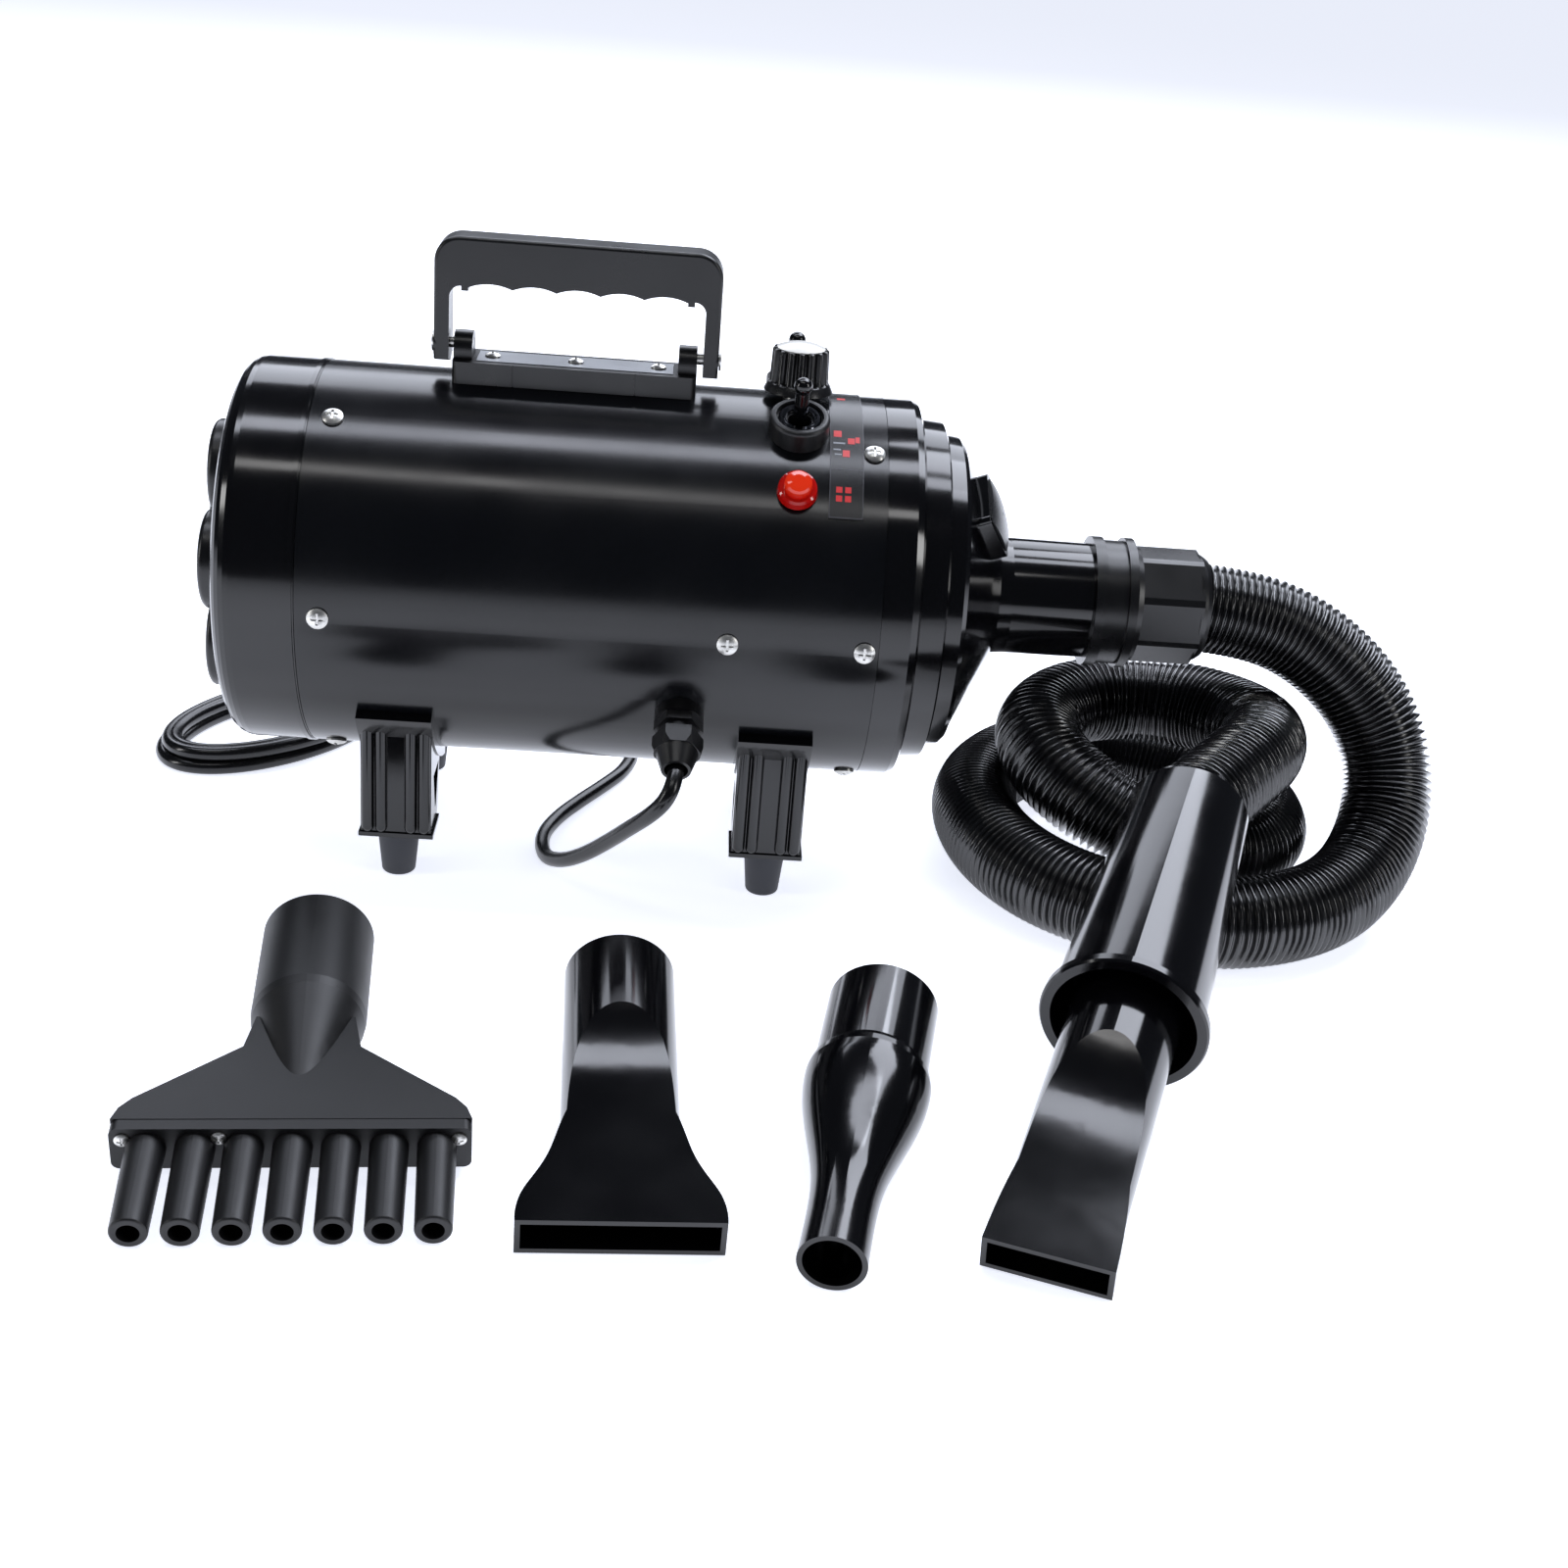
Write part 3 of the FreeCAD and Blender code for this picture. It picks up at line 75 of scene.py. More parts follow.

# %% [markdown]
# ## Routes of the hose and the lead
# A hose or a cord is a fixed length of something flexible, so each one is a list of points that it
# passes near, in millimetres from the middle of the body. A NURBS spline of order 3 turns them into
# one smooth line. Listing the points keeps the lie of the hose under control, where a simulation
# would settle it in its own way.
# %% Read a smooth line from a route
MM = 0.001
FLOOR = -130.0


def place(points):
    """Millimetres from the body's middle to the row's frame in metres."""
    return [AXIS + Vector(p) * MM for p in points]


def smooth_curve(name, points):
    """One open NURBS spline with the points as its control points."""
    data = bpy.data.curves.new(name, "CURVE")
    data.dimensions = "3D"
    spline = data.splines.new("NURBS")
    spline.points.add(len(points) - 1)
    for spot, p in zip(spline.points, points):
        spot.co = (*p, 1)
    spline.order_u = 3
    spline.use_endpoint_u = True
    spline.resolution_u = 12
    piece = bpy.data.objects.new(name, data)
    bpy.context.scene.collection.objects.link(piece)
    return piece


def line_of(piece):
    """The points of a curve that has no bevel, as an array in metres."""
    bpy.context.view_layer.update()
    mesh = bpy.data.meshes.new_from_object(piece.evaluated_get(bpy.context.evaluated_depsgraph_get()))
    line = np.array([v.co[:] for v in mesh.vertices])
    bpy.data.meshes.remove(mesh)
    return line


def length_of(line):
    return float(np.linalg.norm(np.diff(line, axis=0), axis=1).sum())


# %% [markdown]
# The hose leaves its cuff straight, drops to the floor, makes one loop there and a second, smaller
# one on top of it, and rises into the hand cuff. It is stiff, so its bends are wide.
# %% The route of the air hose
HOSE_D = 0.041
LOW = FLOOR + 20.5                           # the height of the hose's line where it lies on the floor
HOSE_ROUTE = [
    (277, 0, 0), (298, 0, -1.5), (322, -2, -8), (345, -6, -22), (363, -11, -41), (373, -20, -64),
    (371, -36, -88), (357, -58, -104), (334, -82, LOW + 0.5), (303, -99, LOW), (270, -104, LOW),
    (238, -95, LOW), (209, -74, LOW), (190, -42, LOW), (183, -4, LOW), (190, 34, LOW), (213, 66, LOW),
    (248, 80, LOW), (286, 73, LOW), (315, 50, LOW), (329, 17, LOW), (322, -18, LOW + 1),
    (298, -43, -106), (264, -52, -95), (231, -43, -82), (211, -19, -73), (210, 11, -68), (228, 34, -65),
    (255, 43, -64), (284, 36, -62), (306, 15, -60), (313, -14, -56), (304, -44, -52),
    (286, -70, -52.5), (262, -97, -58.5)]
hose_curve = smooth_curve("hose_line", place(HOSE_ROUTE))
hose_line = line_of(hose_curve)
print("hose line:", round(length_of(hose_line), 3), "m from", len(HOSE_ROUTE), "points")

# %% [markdown]
# The lead leaves the gland, drops to the floor and runs back behind the body, where the rest of
# it is put away as a flat oval hank. The hank's turns are more points of the same spline, because
# a lead is one piece from the gland to the plug.
# %% The route of the power lead
LEAD_D = 0.007
LIE = FLOOR + 3.5
LEAD_ROUTE = [
    (40, -103.4, -50.4), (39.6, -110, -53.6), (36.5, -114.5, -60.5), (30.5, -111, -69),
    (22.5, -101, -80), (12, -86, -95.5), (1.5, -73, -109), (-9, -60, -119.5), (-18, -44, LIE + 0.4),
    (-21, -22, LIE), (-15, -1, LIE), (-5, 19, LIE), (5, 37, LIE), (15, 57, LIE), (19, 82, LIE),
    (8, 105, LIE), (-18, 119, LIE), (-48, 125, LIE), (-78, 130, LIE), (-101, 137, LIE)]
HANK_MID, HANK_LEAN = (-163.0, 86.0), math.radians(50)
HANK_A, HANK_B = 63.0, 33.0
HANK_START, HANK_END = 6, -14                # degrees round the oval where its turns begin and end
TURNS, STEPS = 4, 16
STRAND = 7.5                                 # from one turn to the next one beside it
LIFT = 6.7                                   # the upper layer lies in the grooves of the lower one
LOWER_TURNS = 2                              # turns in the lower layer
CLIMB = 0.22                                 # turns that the lead takes to climb to the upper layer
WANDER = 1.2                                 # millimetres; strands stray sideways by up to 0.4 of this


def on_hank(degrees, out, height):
    """A point on the hank's oval, this far outside its middle line."""
    a = math.radians(degrees)
    x, y = (HANK_A + out) * math.cos(a), (HANK_B + out) * math.sin(a)
    c, s = math.cos(HANK_LEAN), math.sin(HANK_LEAN)
    return (HANK_MID[0] + x * c - y * s, HANK_MID[1] + x * s + y * c, height)


def hank_points():
    """The control points of the turns: a lower layer that winds inwards, then an upper one outwards."""
    total = TURNS * 360 + HANK_END - HANK_START
    count = round(total / 360 * STEPS)
    points = []
    for k in range(1, count + 1):
        turn = total / 360 * k / count
        if turn < LOWER_TURNS:
            out, rise = STRAND * (1 - turn), 0
        else:
            rise = min(1, (turn - LOWER_TURNS) / CLIMB)
            out = -STRAND + rise * STRAND / 2 + STRAND * (turn - LOWER_TURNS) / 2
        wander = WANDER * math.sin(5.1 * turn + 0.6)
        height = LIE + rise * LIFT + 0.3 * rise * wander
        points.append(on_hank(HANK_START + 360 * turn, out + wander * 0.4, height))
    return points


# the lead leaves the top of the hank and goes down into the plug's sleeve
TAIL = [(-118.3, 144.5, FLOOR + 7.6), (-120.5, 152.5, FLOOR + 7)]
lead_points = LEAD_ROUTE + hank_points() + TAIL
lead_curve = smooth_curve("power_lead", place(lead_points))
lead_length = length_of(line_of(lead_curve))
print("lead:", round(lead_length, 3), "m,", TURNS, "turns on the hank")

# %% [markdown]
# ## Floor and light
# Glossy black plastic shows little colour of its own: what it shows is the room. So the lamps are
# large soft boxes, which leave long bands with clear edges on the barrel and caps, and the room
# itself is kept dark, or a veil of grey would hide the black. The floor is white and glows, as a
# backlit studio table does, so it also lights the undersides from below.
# %% Colours from hex values


def srgb(code, alpha=1.0):
    """A linear colour from an sRGB hex value."""
    values = [int(code[k:k + 2], 16) / 255 for k in (0, 2, 4)]
    return (*(v / 12.92 if v <= 0.04045 else ((v + 0.055) / 1.055) ** 2.4 for v in values), alpha)


def add(tree, kind, inputs=None, **settings):
    """One node with its settings, and its inputs set or linked."""
    node = tree.nodes.new(kind)
    for key, value in settings.items():
        setattr(node, key, value)
    for key, value in (inputs or {}).items():
        if isinstance(value, bpy.types.NodeSocket):
            tree.links.new(value, node.inputs[key])
        else:
            node.inputs[key].default_value = value
    return node


print("a mid grey of 808080 is", round(srgb("808080")[0], 3), "linear")

# %% Floor, lamps and room
ROOM_LEVEL, FLOOR_GLOW = 0.07, 0.90
COOL = "edf2ff"                              # the tint of the lamps behind the dryer
bpy.context.scene.view_settings.view_transform = "Standard"
world = bpy.data.worlds.new("room")
bpy.context.scene.world = world
world.use_nodes = True
background = world.node_tree.nodes["Background"]
background.inputs["Color"].default_value = srgb("c9d3e6")
background.inputs["Strength"].default_value = ROOM_LEVEL


def mesh_piece(name, vertices, faces, smooth=True):
    """An object made from points and faces."""
    mesh = bpy.data.meshes.new(name)
    mesh.from_pydata([tuple(v) for v in vertices], [], faces)
    mesh.update()
    if smooth:
        mesh.polygons.foreach_set("use_smooth", [True] * len(mesh.polygons))
    piece = bpy.data.objects.new(name, mesh)
    bpy.context.scene.collection.objects.link(piece)
    return piece


FLOOR_REACH = 25.0                           # metres, so that its edge is far away
corners = [(x * FLOOR_REACH, y * FLOOR_REACH, 0) for x, y in ((-1, -1), (1, -1), (1, 1), (-1, 1))]
floor = mesh_piece("floor", corners, [(0, 1, 2, 3)])


def softbox(name, spot, target, width, height, power, tint="ffffff"):
    """A rectangular lamp that faces the target; both places are metres from the body's middle."""
    lamp = bpy.data.lights.new(name, "AREA")
    lamp.shape = "RECTANGLE"
    lamp.size, lamp.size_y, lamp.energy = width, height, power
    lamp.color = srgb(tint)[:3]
    piece = bpy.data.objects.new(name, lamp)
    bpy.context.scene.collection.objects.link(piece)
    spot, target = AXIS + Vector(spot), AXIS + Vector(target)
    piece.location = spot
    piece.rotation_euler = (target - spot).to_track_quat("-Z", "Y").to_euler()
    return piece


softbox("lamp_over", (0.0, 0.15, 1.8), (0, 0, 0), 2.2, 0.28, 16, COOL)
softbox("lamp_high", (1.05, 0.75, 1.8), (0.3, -0.1, -0.1), 1.3, 1.0, 34, COOL)
softbox("lamp_wall", (0.1, 2.3, 1.7), (0, 0, 0), 3.4, 1.3, 55, COOL)
softbox("lamp_front", (-0.2, -1.0, 2.2), (0, 0, 0), 1.7, 0.20, 5)
softbox("lamp_left", (-1.9, -0.7, 0.7), (0, 0, 0), 0.30, 1.0, 8)
softbox("lamp_right", (1.8, -0.9, 0.8), (0.1, 0, 0), 0.30, 1.0, 8)

# %% [markdown]
# ## Finishes
# Nearly everything here is black, yet no two parts look alike, because they are made differently:
# rolled steel with baked paint, ABS from polished and from sparked moulds, rubber, and soft PVC.
# The difference lies in gloss and in the fine relief, so each finish gets its own. Each grain's
# size is a real size in millimetres, and object coordinates are metres, so a scale is 1000 / mm.
# %% A helper for moulded and painted surfaces


def per_mm(size):
    """The noise scale that makes one grain this many millimetres."""
    return 1000.0 / size


DRIFT_MM = 38                                # the size of the patches where colour and gloss drift


def finish_of(name, colour, rough, grain_mm, relief_mm, vary=0.04, rough_vary=0.05, metal=0.0, ior=1.5,
              **extra):
    """A surface with a colour that drifts, gloss that drifts, and a fine relief."""
    material = bpy.data.materials.new(name)
    material.use_nodes = True
    tree = material.node_tree
    shader = tree.nodes["Principled BSDF"]
    where = add(tree, "ShaderNodeTexCoord").outputs["Object"]
    broad = add(tree, "ShaderNodeTexNoise", {"Vector": where, "Scale": per_mm(DRIFT_MM), "Detail": 3.0})
    fine = add(tree, "ShaderNodeTexNoise", {"Vector": where, "Scale": per_mm(grain_mm), "Detail": 2.0})
    base = srgb(colour)
    dark = (*(v * (1 - vary) for v in base[:3]), 1)
    light = (*(min(1, v * (1 + vary) + 0.002 * vary) for v in base[:3]), 1)
    tone = add(tree, "ShaderNodeMixRGB", {"Fac": broad.outputs["Fac"], "Color1": dark, "Color2": light})
    smoothest, roughest = max(0.02, rough - rough_vary), rough + rough_vary
    gloss = add(tree, "ShaderNodeMapRange", {"Value": broad.outputs["Fac"], "From Min": 0.3, "From Max": 0.7,
                                             "To Min": smoothest, "To Max": roughest})
    relief = add(tree, "ShaderNodeBump", {"Height": fine.outputs["Fac"], "Strength": 0.6,
                                          "Distance": relief_mm * MM})
    tree.links.new(tone.outputs["Color"], shader.inputs["Base Color"])
    tree.links.new(gloss.outputs["Result"], shader.inputs["Roughness"])
    tree.links.new(relief.outputs["Normal"], shader.inputs["Normal"])
    shader.inputs["Metallic"].default_value = metal
    if not metal:
        shader.inputs["IOR"].default_value = ior
    for key, value in extra.items():
        shader.inputs[key.replace("_", " ")].default_value = value
    return material


# %% [markdown]
# Below, each finish says which material and process it stands for. The black plastics get nearly
# the same colour, and only their gloss and grain tell them apart. The metals' colour hardly
# drifts, apart from the varnished copper and the heated wire.
# %% The finishes
# baked paint: steel under black enamel, with the faint ripple that sprayed paint dries to
PAINT = finish_of("baked_paint", "07080b", 0.19, 2.6, 0.012, rough_vary=0.03)
# polished ABS: a mirror-smooth mould gives sharp reflections with the faintest waviness
GLOSS_ABS = finish_of("polished_abs", "060608", 0.12, 9.0, 0.015, rough_vary=0.03, ior=1.53)
# sparked ABS: a spark-eroded mould leaves a fine satin grain of under a millimetre
SATIN_ABS = finish_of("sparked_abs", "0a0a0c", 0.30, 0.7, 0.02, ior=1.50)
# polypropylene, moulded satin: softer highlights than ABS, greyer
SATIN_PP = finish_of("satin_polypropylene", "08080a", 0.46, 0.9, 0.03, ior=1.49)
# nitrile rubber: dull, fine dust-like grain
RUBBER = finish_of("nitrile_rubber", "09090b", 0.45, 0.5, 0.03, ior=1.50)
# dark grey rubber of the foot tips
GREY_RUBBER = finish_of("grey_rubber", "2c2e35", 0.55, 0.6, 0.04, vary=0.12, ior=1.52)
# soft PVC of the hose: wet-looking
HOSE_PVC = finish_of("hose_pvc", "0c0c0e", 0.25, 1.2, 0.003, rough_vary=0.04, ior=1.58,
                     Coat_Weight=0.5, Coat_Roughness=0.12)
# soft PVC of the lead
LEAD_PVC = finish_of("lead_pvc", "08080a", 0.24, 2.0, 0.01, ior=1.53)
# white ABS of the knob's cap
WHITE_ABS = finish_of("white_abs", "ecebe6", 0.16, 6.0, 0.01, vary=0.02, ior=1.53)
# bright nickel plating
NICKEL = finish_of("nickel_plate", "d8d7d3", 0.34, 1.2, 0.004, metal=1.0)
# plain steel and aluminium inside
STEEL = finish_of("mild_steel", "8d8f92", 0.38, 0.8, 0.02, metal=1.0)
ALUMINIUM = finish_of("die_cast_aluminium", "b4b6ba", 0.42, 0.9, 0.05, metal=1.0)
BRASS = finish_of("turned_brass", "c2a05a", 0.26, 0.5, 0.01, metal=1.0)
COPPER = finish_of("varnished_copper", "9a5a34", 0.30, 0.8, 0.05, vary=0.2, metal=1.0)
MICA = finish_of("mica_sheet", "b9a989", 0.48, 1.5, 0.04, vary=0.15)
NICHROME = finish_of("resistance_wire", "6b655e", 0.45, 0.4, 0.01, vary=0.15, metal=1.0)
BOARD = finish_of("circuit_board", "1f5b36", 0.35, 1.0, 0.02)
FOAM = finish_of("open_cell_foam", "2c2d30", 0.85, 1.1, 0.5, vary=0.3)
BLACK_CHROME = finish_of("black_chrome", "55565c", 0.14, 1.2, 0.003, metal=1.0)
LABEL_FILM = finish_of("label_film", "0d0d10", 0.30, 0.6, 0.01)
LABEL_EDGE = finish_of("label_edge", "3c3c42", 0.34, 0.6, 0.01)
LABEL_RED = finish_of("label_red", "d2262a", 0.36, 0.6, 0.01, vary=0.08)
LABEL_GREY = finish_of("label_grey", "8a8d94", 0.36, 0.6, 0.01, vary=0.08)
HOOK_TAPE = finish_of("hook_and_loop_tape", "101012", 0.80, 0.5, 0.25, vary=0.3)

# %% [markdown]
# The lamp is a clear red cap over a small bulb. The plastic over the bulb gets a painted orange glow,
# which stands in for the highlight on the dome, and the flange round it stays deep red with a faint
# painted glow. Its height above the barrel tells the two apart: the flange ends four millimetres up.
# The height is the distance from the body's axis along the lamp's own axis.
# %% The lamp's lens
CONTROL_X, SHELL_R, LAMP_ANGLE = 83.5, 85.0, math.radians(LAMP_DEGREES)
LAMP_OUT = Vector((0, -math.cos(LAMP_ANGLE), math.sin(LAMP_ANGLE)))
RED_LENS = finish_of("red_polycarbonate", "a00806", 0.07, 5.0, 0.01, vary=0.10, ior=1.58)
tree = RED_LENS.node_tree
shader = tree.nodes["Principled BSDF"]
where = add(tree, "ShaderNodeTexCoord").outputs["Object"]
from_axis = add(tree, "ShaderNodeVectorMath", {0: where, 1: AXIS}, operation="SUBTRACT").outputs["Vector"]
height = add(tree, "ShaderNodeVectorMath", {0: from_axis, 1: LAMP_OUT}, operation="DOT_PRODUCT")
# painted glow: emission that grows with height up the cap, a painted highlight on the dome
painted_glow = add(tree, "ShaderNodeMapRange", {"Value": height.outputs["Value"], "From Min": (SHELL_R + 4.5) * MM,
                                        "From Max": (SHELL_R + 10.5) * MM, "To Min": 0.05, "To Max": 0.5})
painted_glow_tint = add(tree, "ShaderNodeMixRGB", {"Fac": painted_glow.outputs["Result"], "Color1": srgb("c00d08"),
                                       "Color2": srgb("ff5a22")})
tree.links.new(painted_glow_tint.outputs["Color"], shader.inputs["Emission Color"])
tree.links.new(painted_glow.outputs["Result"], shader.inputs["Emission Strength"])
print("lamp axis", [round(v, 3) for v in LAMP_OUT])

# %% [markdown]
# Every CAD node is given the finish of what it really is made of, inside ones too, because the
# cover and the nozzles come off and show them.
# %% Dress the nodes
WEAR = {
    PAINT: "body_shell",
    GLOSS_ABS: "rear_cap front_cap outlet_cone foot_front_right foot_front_left foot_rear_right "
               "foot_rear_left "
               "hand_cuff narrow_nozzle wide_nozzle round_nozzle toggle_lever_front toggle_lever_rear",
    SATIN_ABS: "inlet_cover handle_bail handle_base hose_cuff gland_body gland_nut speed_knob "
               "lamp_housing toggle_body_front toggle_body_rear badge",
    SATIN_PP: "comb_body comb_plate", RUBBER: "toggle_collar_front toggle_collar_rear motor_rings power_plug",
    GREY_RUBBER: "foot_tips", HOSE_PVC: "air_hose", LEAD_PVC: "power_cord cord_hank", WHITE_ABS: "knob_cap",
    RED_LENS: "lamp_lens", NICKEL: "handle_pins comb_screws pot_body case_screws strip_screws foot_screws",
    STEEL: "handle_strip motor_frame motor_bearings rotor_shaft motor_plate thermal_cutout pot_shaft",
    ALUMINIUM: "impellers fan_housing", BRASS: "brush_holders plug_pins", COPPER: "armature",
    MICA: "heater_frame",
    NICHROME: "heater_coil", BOARD: "control_board", FOAM: "foam_filter", LABEL_FILM: "control_label"}
dressed = set()
for material, names in WEAR.items():
    for name in names.split():
        NODES[name].data.materials.clear()
        NODES[name].data.materials.append(material)
        dressed.add(name)
print("nodes with a finish:", len(dressed), "left over:", sorted(set(NODES) - dressed))

# %% [markdown]
# The floor is matt and even, so that nothing on it competes with the dryer.
# %% The floor's finish
floor.data.materials.append(finish_of("pale_floor", "f4f4f6", 0.6, 4.0, 0.0, vary=0.01,
                                      Emission_Color=srgb("eff3ff"), Emission_Strength=FLOOR_GLOW))

# %% [markdown]
# ## The ribbed hose
# A dryer hose is a thin sleeve of soft PVC over a wire that winds round it, so it has one long
# helical rib. It bends by closing its ribs on the inside of a bend. The mesh does the same: rings
# of points stand square to the hose's line, and each point's radius rises and falls with the
# distance along the line plus the angle round it, which makes the helix. The ribs close up on the
# inside of a bend without any further work. Near the hand cuff the hose is pushed together.
# %% Rings that stand square to a line


def ring_faces(rings, around, closed=True):
    """The four-sided faces between rings of points, and from the last ring to the first if closed."""
    faces = []
    for ring in range(rings if closed else rings - 1):
        here, ahead = ring * around, (ring + 1) % rings * around
        for a in range(around):
            after = (a + 1) % around
            faces.append((here + a, here + after, ahead + after, ahead + a))
    return faces


def even_points(line, step):
    """The line again, with points this far apart."""
    steps = np.linalg.norm(np.diff(line, axis=0), axis=1)
    run = np.concatenate([[0], np.cumsum(steps)])
    count = max(2, round(run[-1] / step))
    at = np.linspace(0, run[-1], count + 1)
    return np.stack([np.interp(at, run, line[:, k]) for k in range(3)], axis=1), at


def frames_along(points):
    """Two directions across the line at each point, which never twist round it."""
    tangents = np.gradient(points, axis=0)
    tangents /= np.linalg.norm(tangents, axis=1)[:, None]
    side = np.cross(tangents[0], (0, 0, 1.0))
    side /= np.linalg.norm(side)
    sides = [side]
    for t in tangents[1:]:
        side = sides[-1] - t * np.dot(sides[-1], t)
        sides.append(side / np.linalg.norm(side))
    sides = np.array(sides)
    return sides, np.cross(tangents, sides)


def tube_of(name, points, radii):
    """A tube whose radius is given for each ring and each angle."""
    rings, around = radii.shape
    side, other = frames_along(points)
    angle = np.linspace(0, 2 * np.pi, around, endpoint=False)
    cos, sin = np.cos(angle)[None, :, None], np.sin(angle)[None, :, None]
    spots = points[:, None, :] + radii[:, :, None] * (cos * side[:, None, :] + sin * other[:, None, :])
    faces = ring_faces(rings, around, closed=False)
    return mesh_piece(name, spots.reshape(-1, 3), faces)


# %% Make the hose
RIB_PITCH, RIB_TIGHT, RIB_DEPTH = 3.25 * MM, 2.7 * MM, 2.6 * MM
PACKED, EASE = 0.085, 0.03                   # metres of pushed ribs before the hand cuff, and of the change
AROUND, PER_RIB = 60, 8
hose_points, hose_at = even_points(hose_line, RIB_PITCH / PER_RIB)
hose_length = float(hose_at[-1])
pushed = np.clip((hose_at - (hose_length - PACKED - EASE)) / EASE, 0, 1)
pitch = RIB_PITCH + (RIB_TIGHT - RIB_PITCH) * pushed[1:]
ribs = np.concatenate([[0], np.cumsum(np.diff(hose_at) / pitch)])
phase = ribs[:, None] + np.linspace(0, 1, AROUND, endpoint=False)[None, :]
wave = (0.5 + 0.5 * np.cos(2 * np.pi * phase)) ** 1.4      # a round bead and a dark valley beside it
hose = tube_of("air_hose_ribbed", hose_points, HOSE_D / 2 - RIB_DEPTH * (1 - wave))
hose.data.materials.append(HOSE_PVC)
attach(hose, "dryer")
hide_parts("air_hose")
bpy.data.objects.remove(hose_curve)
print("hose:", round(hose_length, 3), "m,", round(float(ribs[-1])), "ribs")

# %% [markdown]
# ## The power lead
# A round 7 mm lead in soft black PVC. It keeps its own curve with a round bevel, because a plain
# cord needs no more than that. A hook-and-loop band holds the hank.
# %% Make the lead
lead_curve.data.bevel_depth = LEAD_D / 2
lead_curve.data.bevel_resolution = 8
lead_curve.data.use_fill_caps = True
lead_curve.data.materials.append(LEAD_PVC)
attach(lead_curve, "dryer")
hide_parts("power_cord", "cord_hank")
print("lead:", round(lead_length, 3), "m")

# %% [markdown]
# ## Small pieces round the controls
# The dial is a fluted knob: sixteen round flutes for a wet hand to hold. A lathe makes
# it, with the radius pulled in and out round the axis. The toggles each have a ring nut that holds
# them in the collar.
# %% Things turned round an axis of the barrel


def out_at(degrees):
    """The direction that points out of the barrel at this angle, from the camera side upwards."""
    a = math.radians(degrees)
    return Vector((0, -math.cos(a), math.sin(a)))


def turned(name, profile, x, degrees, flutes=0, depth=0.0, fluted=(), around=144):
    """A closed profile of (radius, height over the barrel's axis) turned round a radial axis.

    fluted lists the corners of the profile that the flutes pull in, by up to depth.
    """
    out = out_at(degrees)
    side, across = Vector((1, 0, 0)), out.cross(Vector((1, 0, 0)))
    spots = []
    for k in range(around):
        a = 2 * math.pi * k / around
        dip = depth * (0.5 - 0.5 * math.cos(flutes * a)) ** 2
        for n, (radius, height) in enumerate(profile):
            reach_out = radius - dip if n in fluted else radius
            spot = Vector((x, 0, 0)) + height * out + reach_out * (math.cos(a) * side + math.sin(a) * across)
            spots.append(AXIS + spot * MM)
    faces = ring_faces(around, len(profile))
    piece = mesh_piece(name, spots, faces)
    piece.data.set_sharp_from_angle(angle=math.radians(35))
    return piece


KNOB_LOW, KNOB_TOP = SHELL_R + 3.2, SHELL_R + 22.0
FLUTES, FLUTE_DEPTH = 16, 2.3
knob_profile = [(3.05, KNOB_LOW), (14.8, KNOB_LOW), (15.2, KNOB_LOW + 0.4), (13.6, KNOB_LOW + 3.6),
                (13.2, KNOB_LOW + 4.0), (12.9, KNOB_LOW + 4.6), (12.4, KNOB_TOP - 0.9),
                (12.2, KNOB_TOP - 0.3), (11.7, KNOB_TOP), (3.05, KNOB_TOP)]
knob = turned("dial_fluted", knob_profile, CONTROL_X, KNOB_DEGREES, FLUTES, FLUTE_DEPTH, (5, 6, 7, 8))
knob.data.materials.append(SATIN_ABS)
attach(knob, "speed_dial")
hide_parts("speed_knob")
nut_profile = [(6.2, 91.35), (9.2, 91.35), (9.2, 92.6), (8.6, 93.2), (7.4, 93.2), (6.8, 92.7), (6.2, 92.7)]
for side_name, degrees in (("front", FRONT_DEGREES), ("rear", REAR_DEGREES)):
    nut = turned("toggle_nut_" + side_name, nut_profile, CONTROL_X, degrees)
    nut.data.materials.append(BLACK_CHROME)
    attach(nut, "dryer")
print("dial:", FLUTES, "flutes,", FLUTE_DEPTH, "mm deep")

# %% [markdown]
# The label is a thin film bent round the barrel, printed with an outline and small plain marks.
# Each mark is a thin patch that follows the curve half a millimetre over the paint, cut into steps
# of about a degree, so it stays as round as the barrel.
# %% The label's print


def printed(name, marks, material, radius=SHELL_R + 0.5):
    """Thin flat marks on the barrel; each is (x from, x to, degrees from, degrees to)."""
    spots, faces = [], []
    for x0, x1, d0, d1 in marks:
        start, parts = len(spots), max(1, round(d1 - d0))
        for k in range(parts + 1):
            out = out_at(d0 + (d1 - d0) * k / parts)
            spots += [AXIS + MM * (Vector((x, 0, 0)) + radius * out) for x in (x0, x1)]
        faces += [(k, k + 1, k + 3, k + 2) for k in range(start, start + 2 * parts, 2)]
    piece = mesh_piece(name, spots, faces, smooth=False)
    piece.data.materials.append(material)
    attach(piece, "dryer")
    return piece


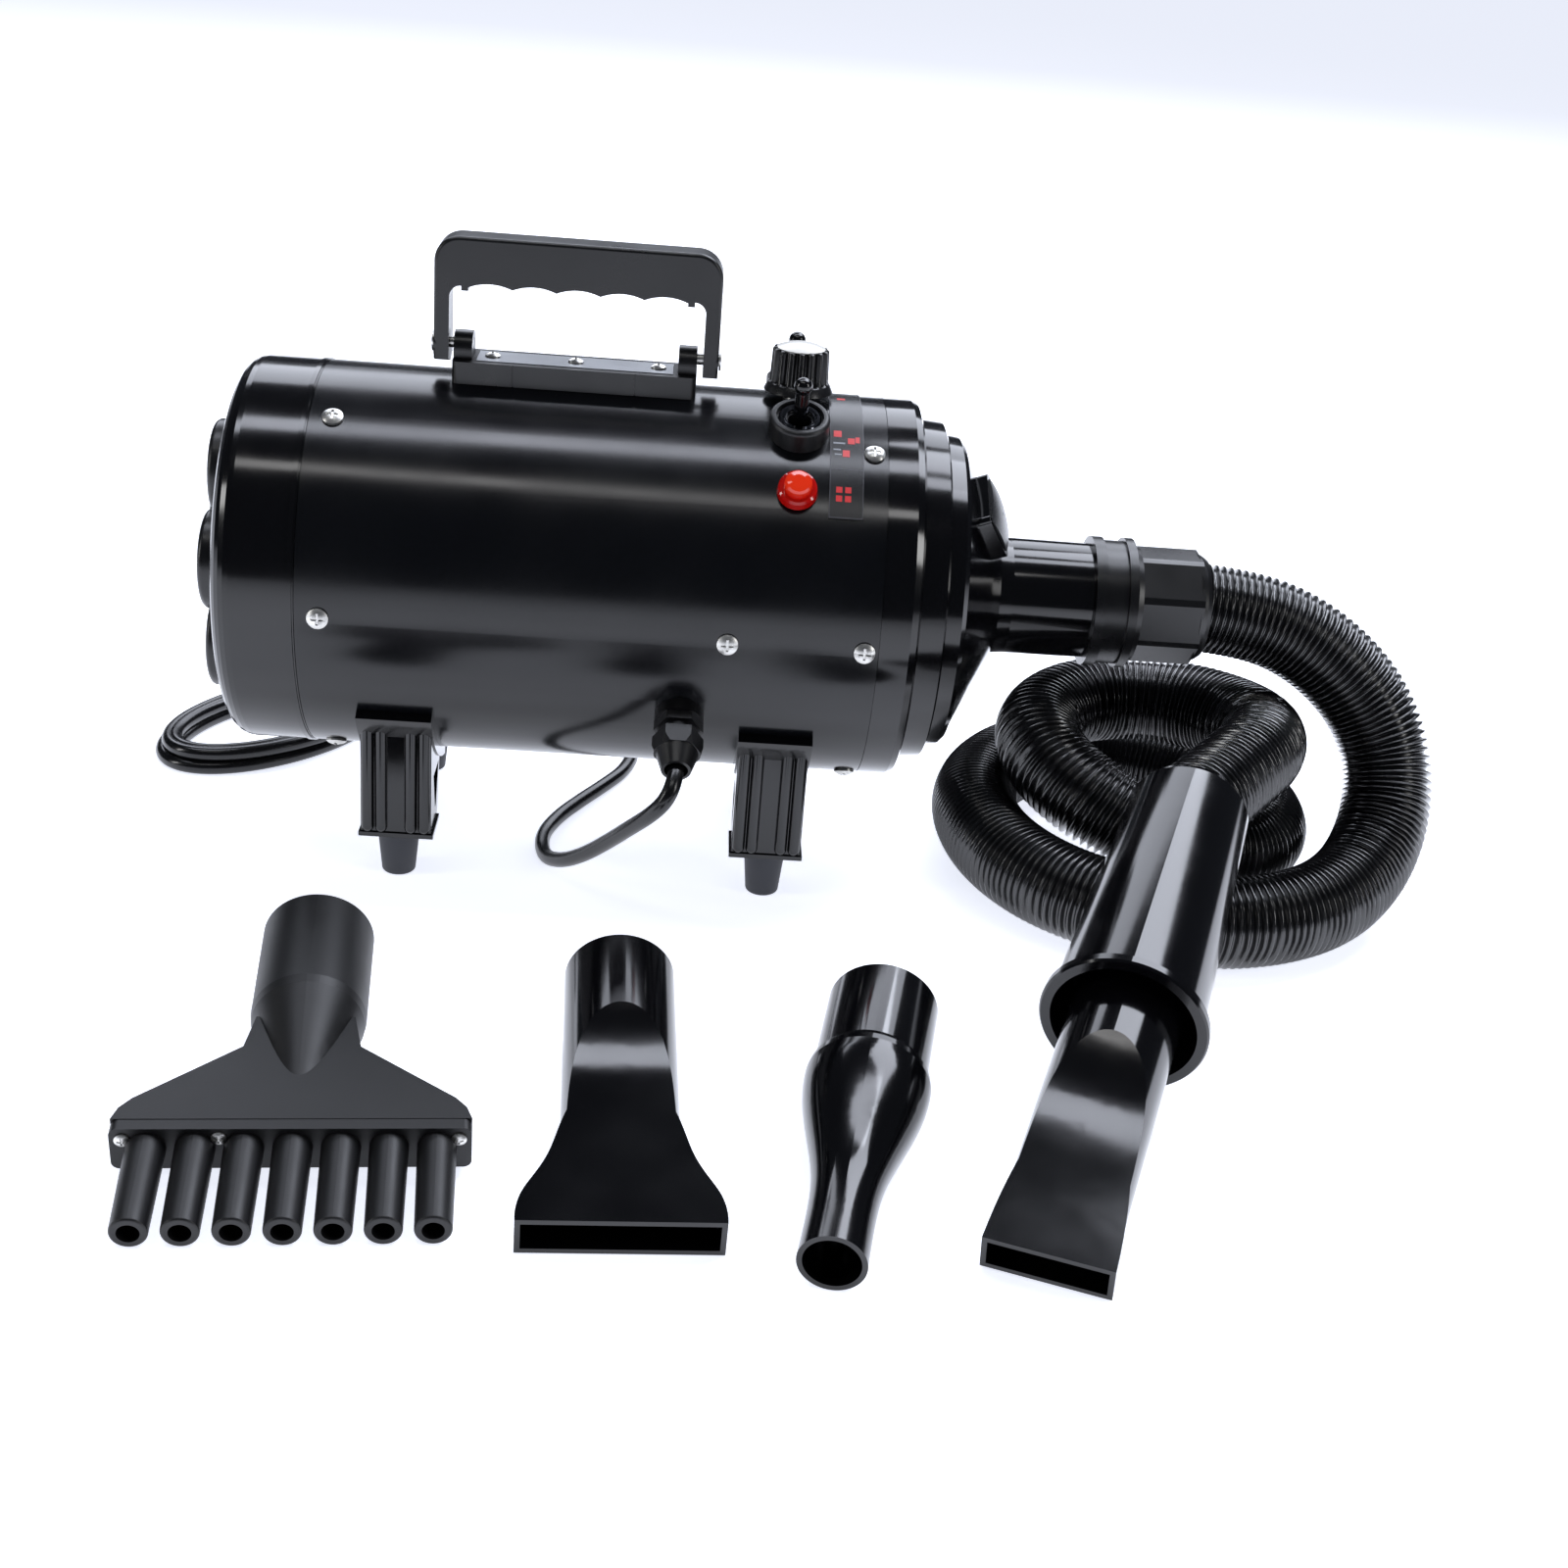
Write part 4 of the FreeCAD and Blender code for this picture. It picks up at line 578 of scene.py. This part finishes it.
LABEL_X0, LABEL_X1, LABEL_TOP, RULE = CONTROL_X + 13.6, CONTROL_X + 28.0, 114, 0.35
outline = [(LABEL_X0, LABEL_X0 + RULE, LABEL_BOTTOM, LABEL_TOP),
           (LABEL_X1 - RULE, LABEL_X1, LABEL_BOTTOM, LABEL_TOP),
           (LABEL_X0, LABEL_X1, LABEL_BOTTOM, LABEL_BOTTOM + 0.3), (LABEL_X0, LABEL_X1, 53.5, 53.75)]
printed("label_outline", outline, LABEL_EDGE)
squares = [(x, x + 2.6, d, d + 1.9) for x in (99.9, 103.7) for d in (43.0, 45.8)]
squares += [(98.6, 102.0, 66.2, 69.0), (104.6, 107.6, 63.4, 65.9), (102.4, 105.4, 58.2, 60.8),
            (107.9, 109.7, 64.0, 66.5), (101.0, 104.5, 89.5, 91.5)]
printed("label_marks", squares, LABEL_RED)
bars = [(98.4, 103.4, 63.2, 63.9), (98.4, 101.6, 60.6, 61.2), (99.0, 102.0, 58.8, 59.3)]
printed("label_lines", bars, LABEL_GREY)
print("label marks:", len(squares))

# %% [markdown]
# ## The tie on the hank
# A strap of hook-and-loop tape goes round the strands once, so the hank stays a flat oval.
# %% Make the tie
TIE_AT, TIE_WIDTH, TIE_THICK = 318, 14.0, 1.1
TIE_HALF_W, TIE_HALF_H = 13.0, 8.2


def squashed(a, half_w, half_h):
    """A point on a rounded rectangle."""
    c, s = math.cos(a), math.sin(a)
    return (math.copysign(abs(c) ** 0.5, c) * half_w, math.copysign(abs(s) ** 0.5, s) * half_h)


tie_spot = Vector(on_hank(TIE_AT, 0, FLOOR + TIE_HALF_H + 0.05))
along = (Vector(on_hank(TIE_AT + 1, 0, FLOOR + TIE_HALF_H + 0.05)) - tie_spot).normalized()
across = Vector((along.y, -along.x, 0))
STRAP_STEPS = 56
strap_spots = []
for k in range(STRAP_STEPS):
    a = 2 * math.pi * k / STRAP_STEPS
    for grow, shift in ((0, -0.5), (0, 0.5), (TIE_THICK, 0.5), (TIE_THICK, -0.5)):
        u, v = squashed(a, TIE_HALF_W - grow, TIE_HALF_H - grow)
        spot = tie_spot + across * u + Vector((0, 0, v)) + along * shift * TIE_WIDTH
        strap_spots.append(AXIS + spot * MM)
strap_faces = ring_faces(STRAP_STEPS, 4)
tie = mesh_piece("hank_tie", strap_spots, strap_faces, smooth=False)
tie.data.materials.append(HOOK_TAPE)
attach(tie, "dryer")
print("tie:", TIE_WIDTH, "mm wide")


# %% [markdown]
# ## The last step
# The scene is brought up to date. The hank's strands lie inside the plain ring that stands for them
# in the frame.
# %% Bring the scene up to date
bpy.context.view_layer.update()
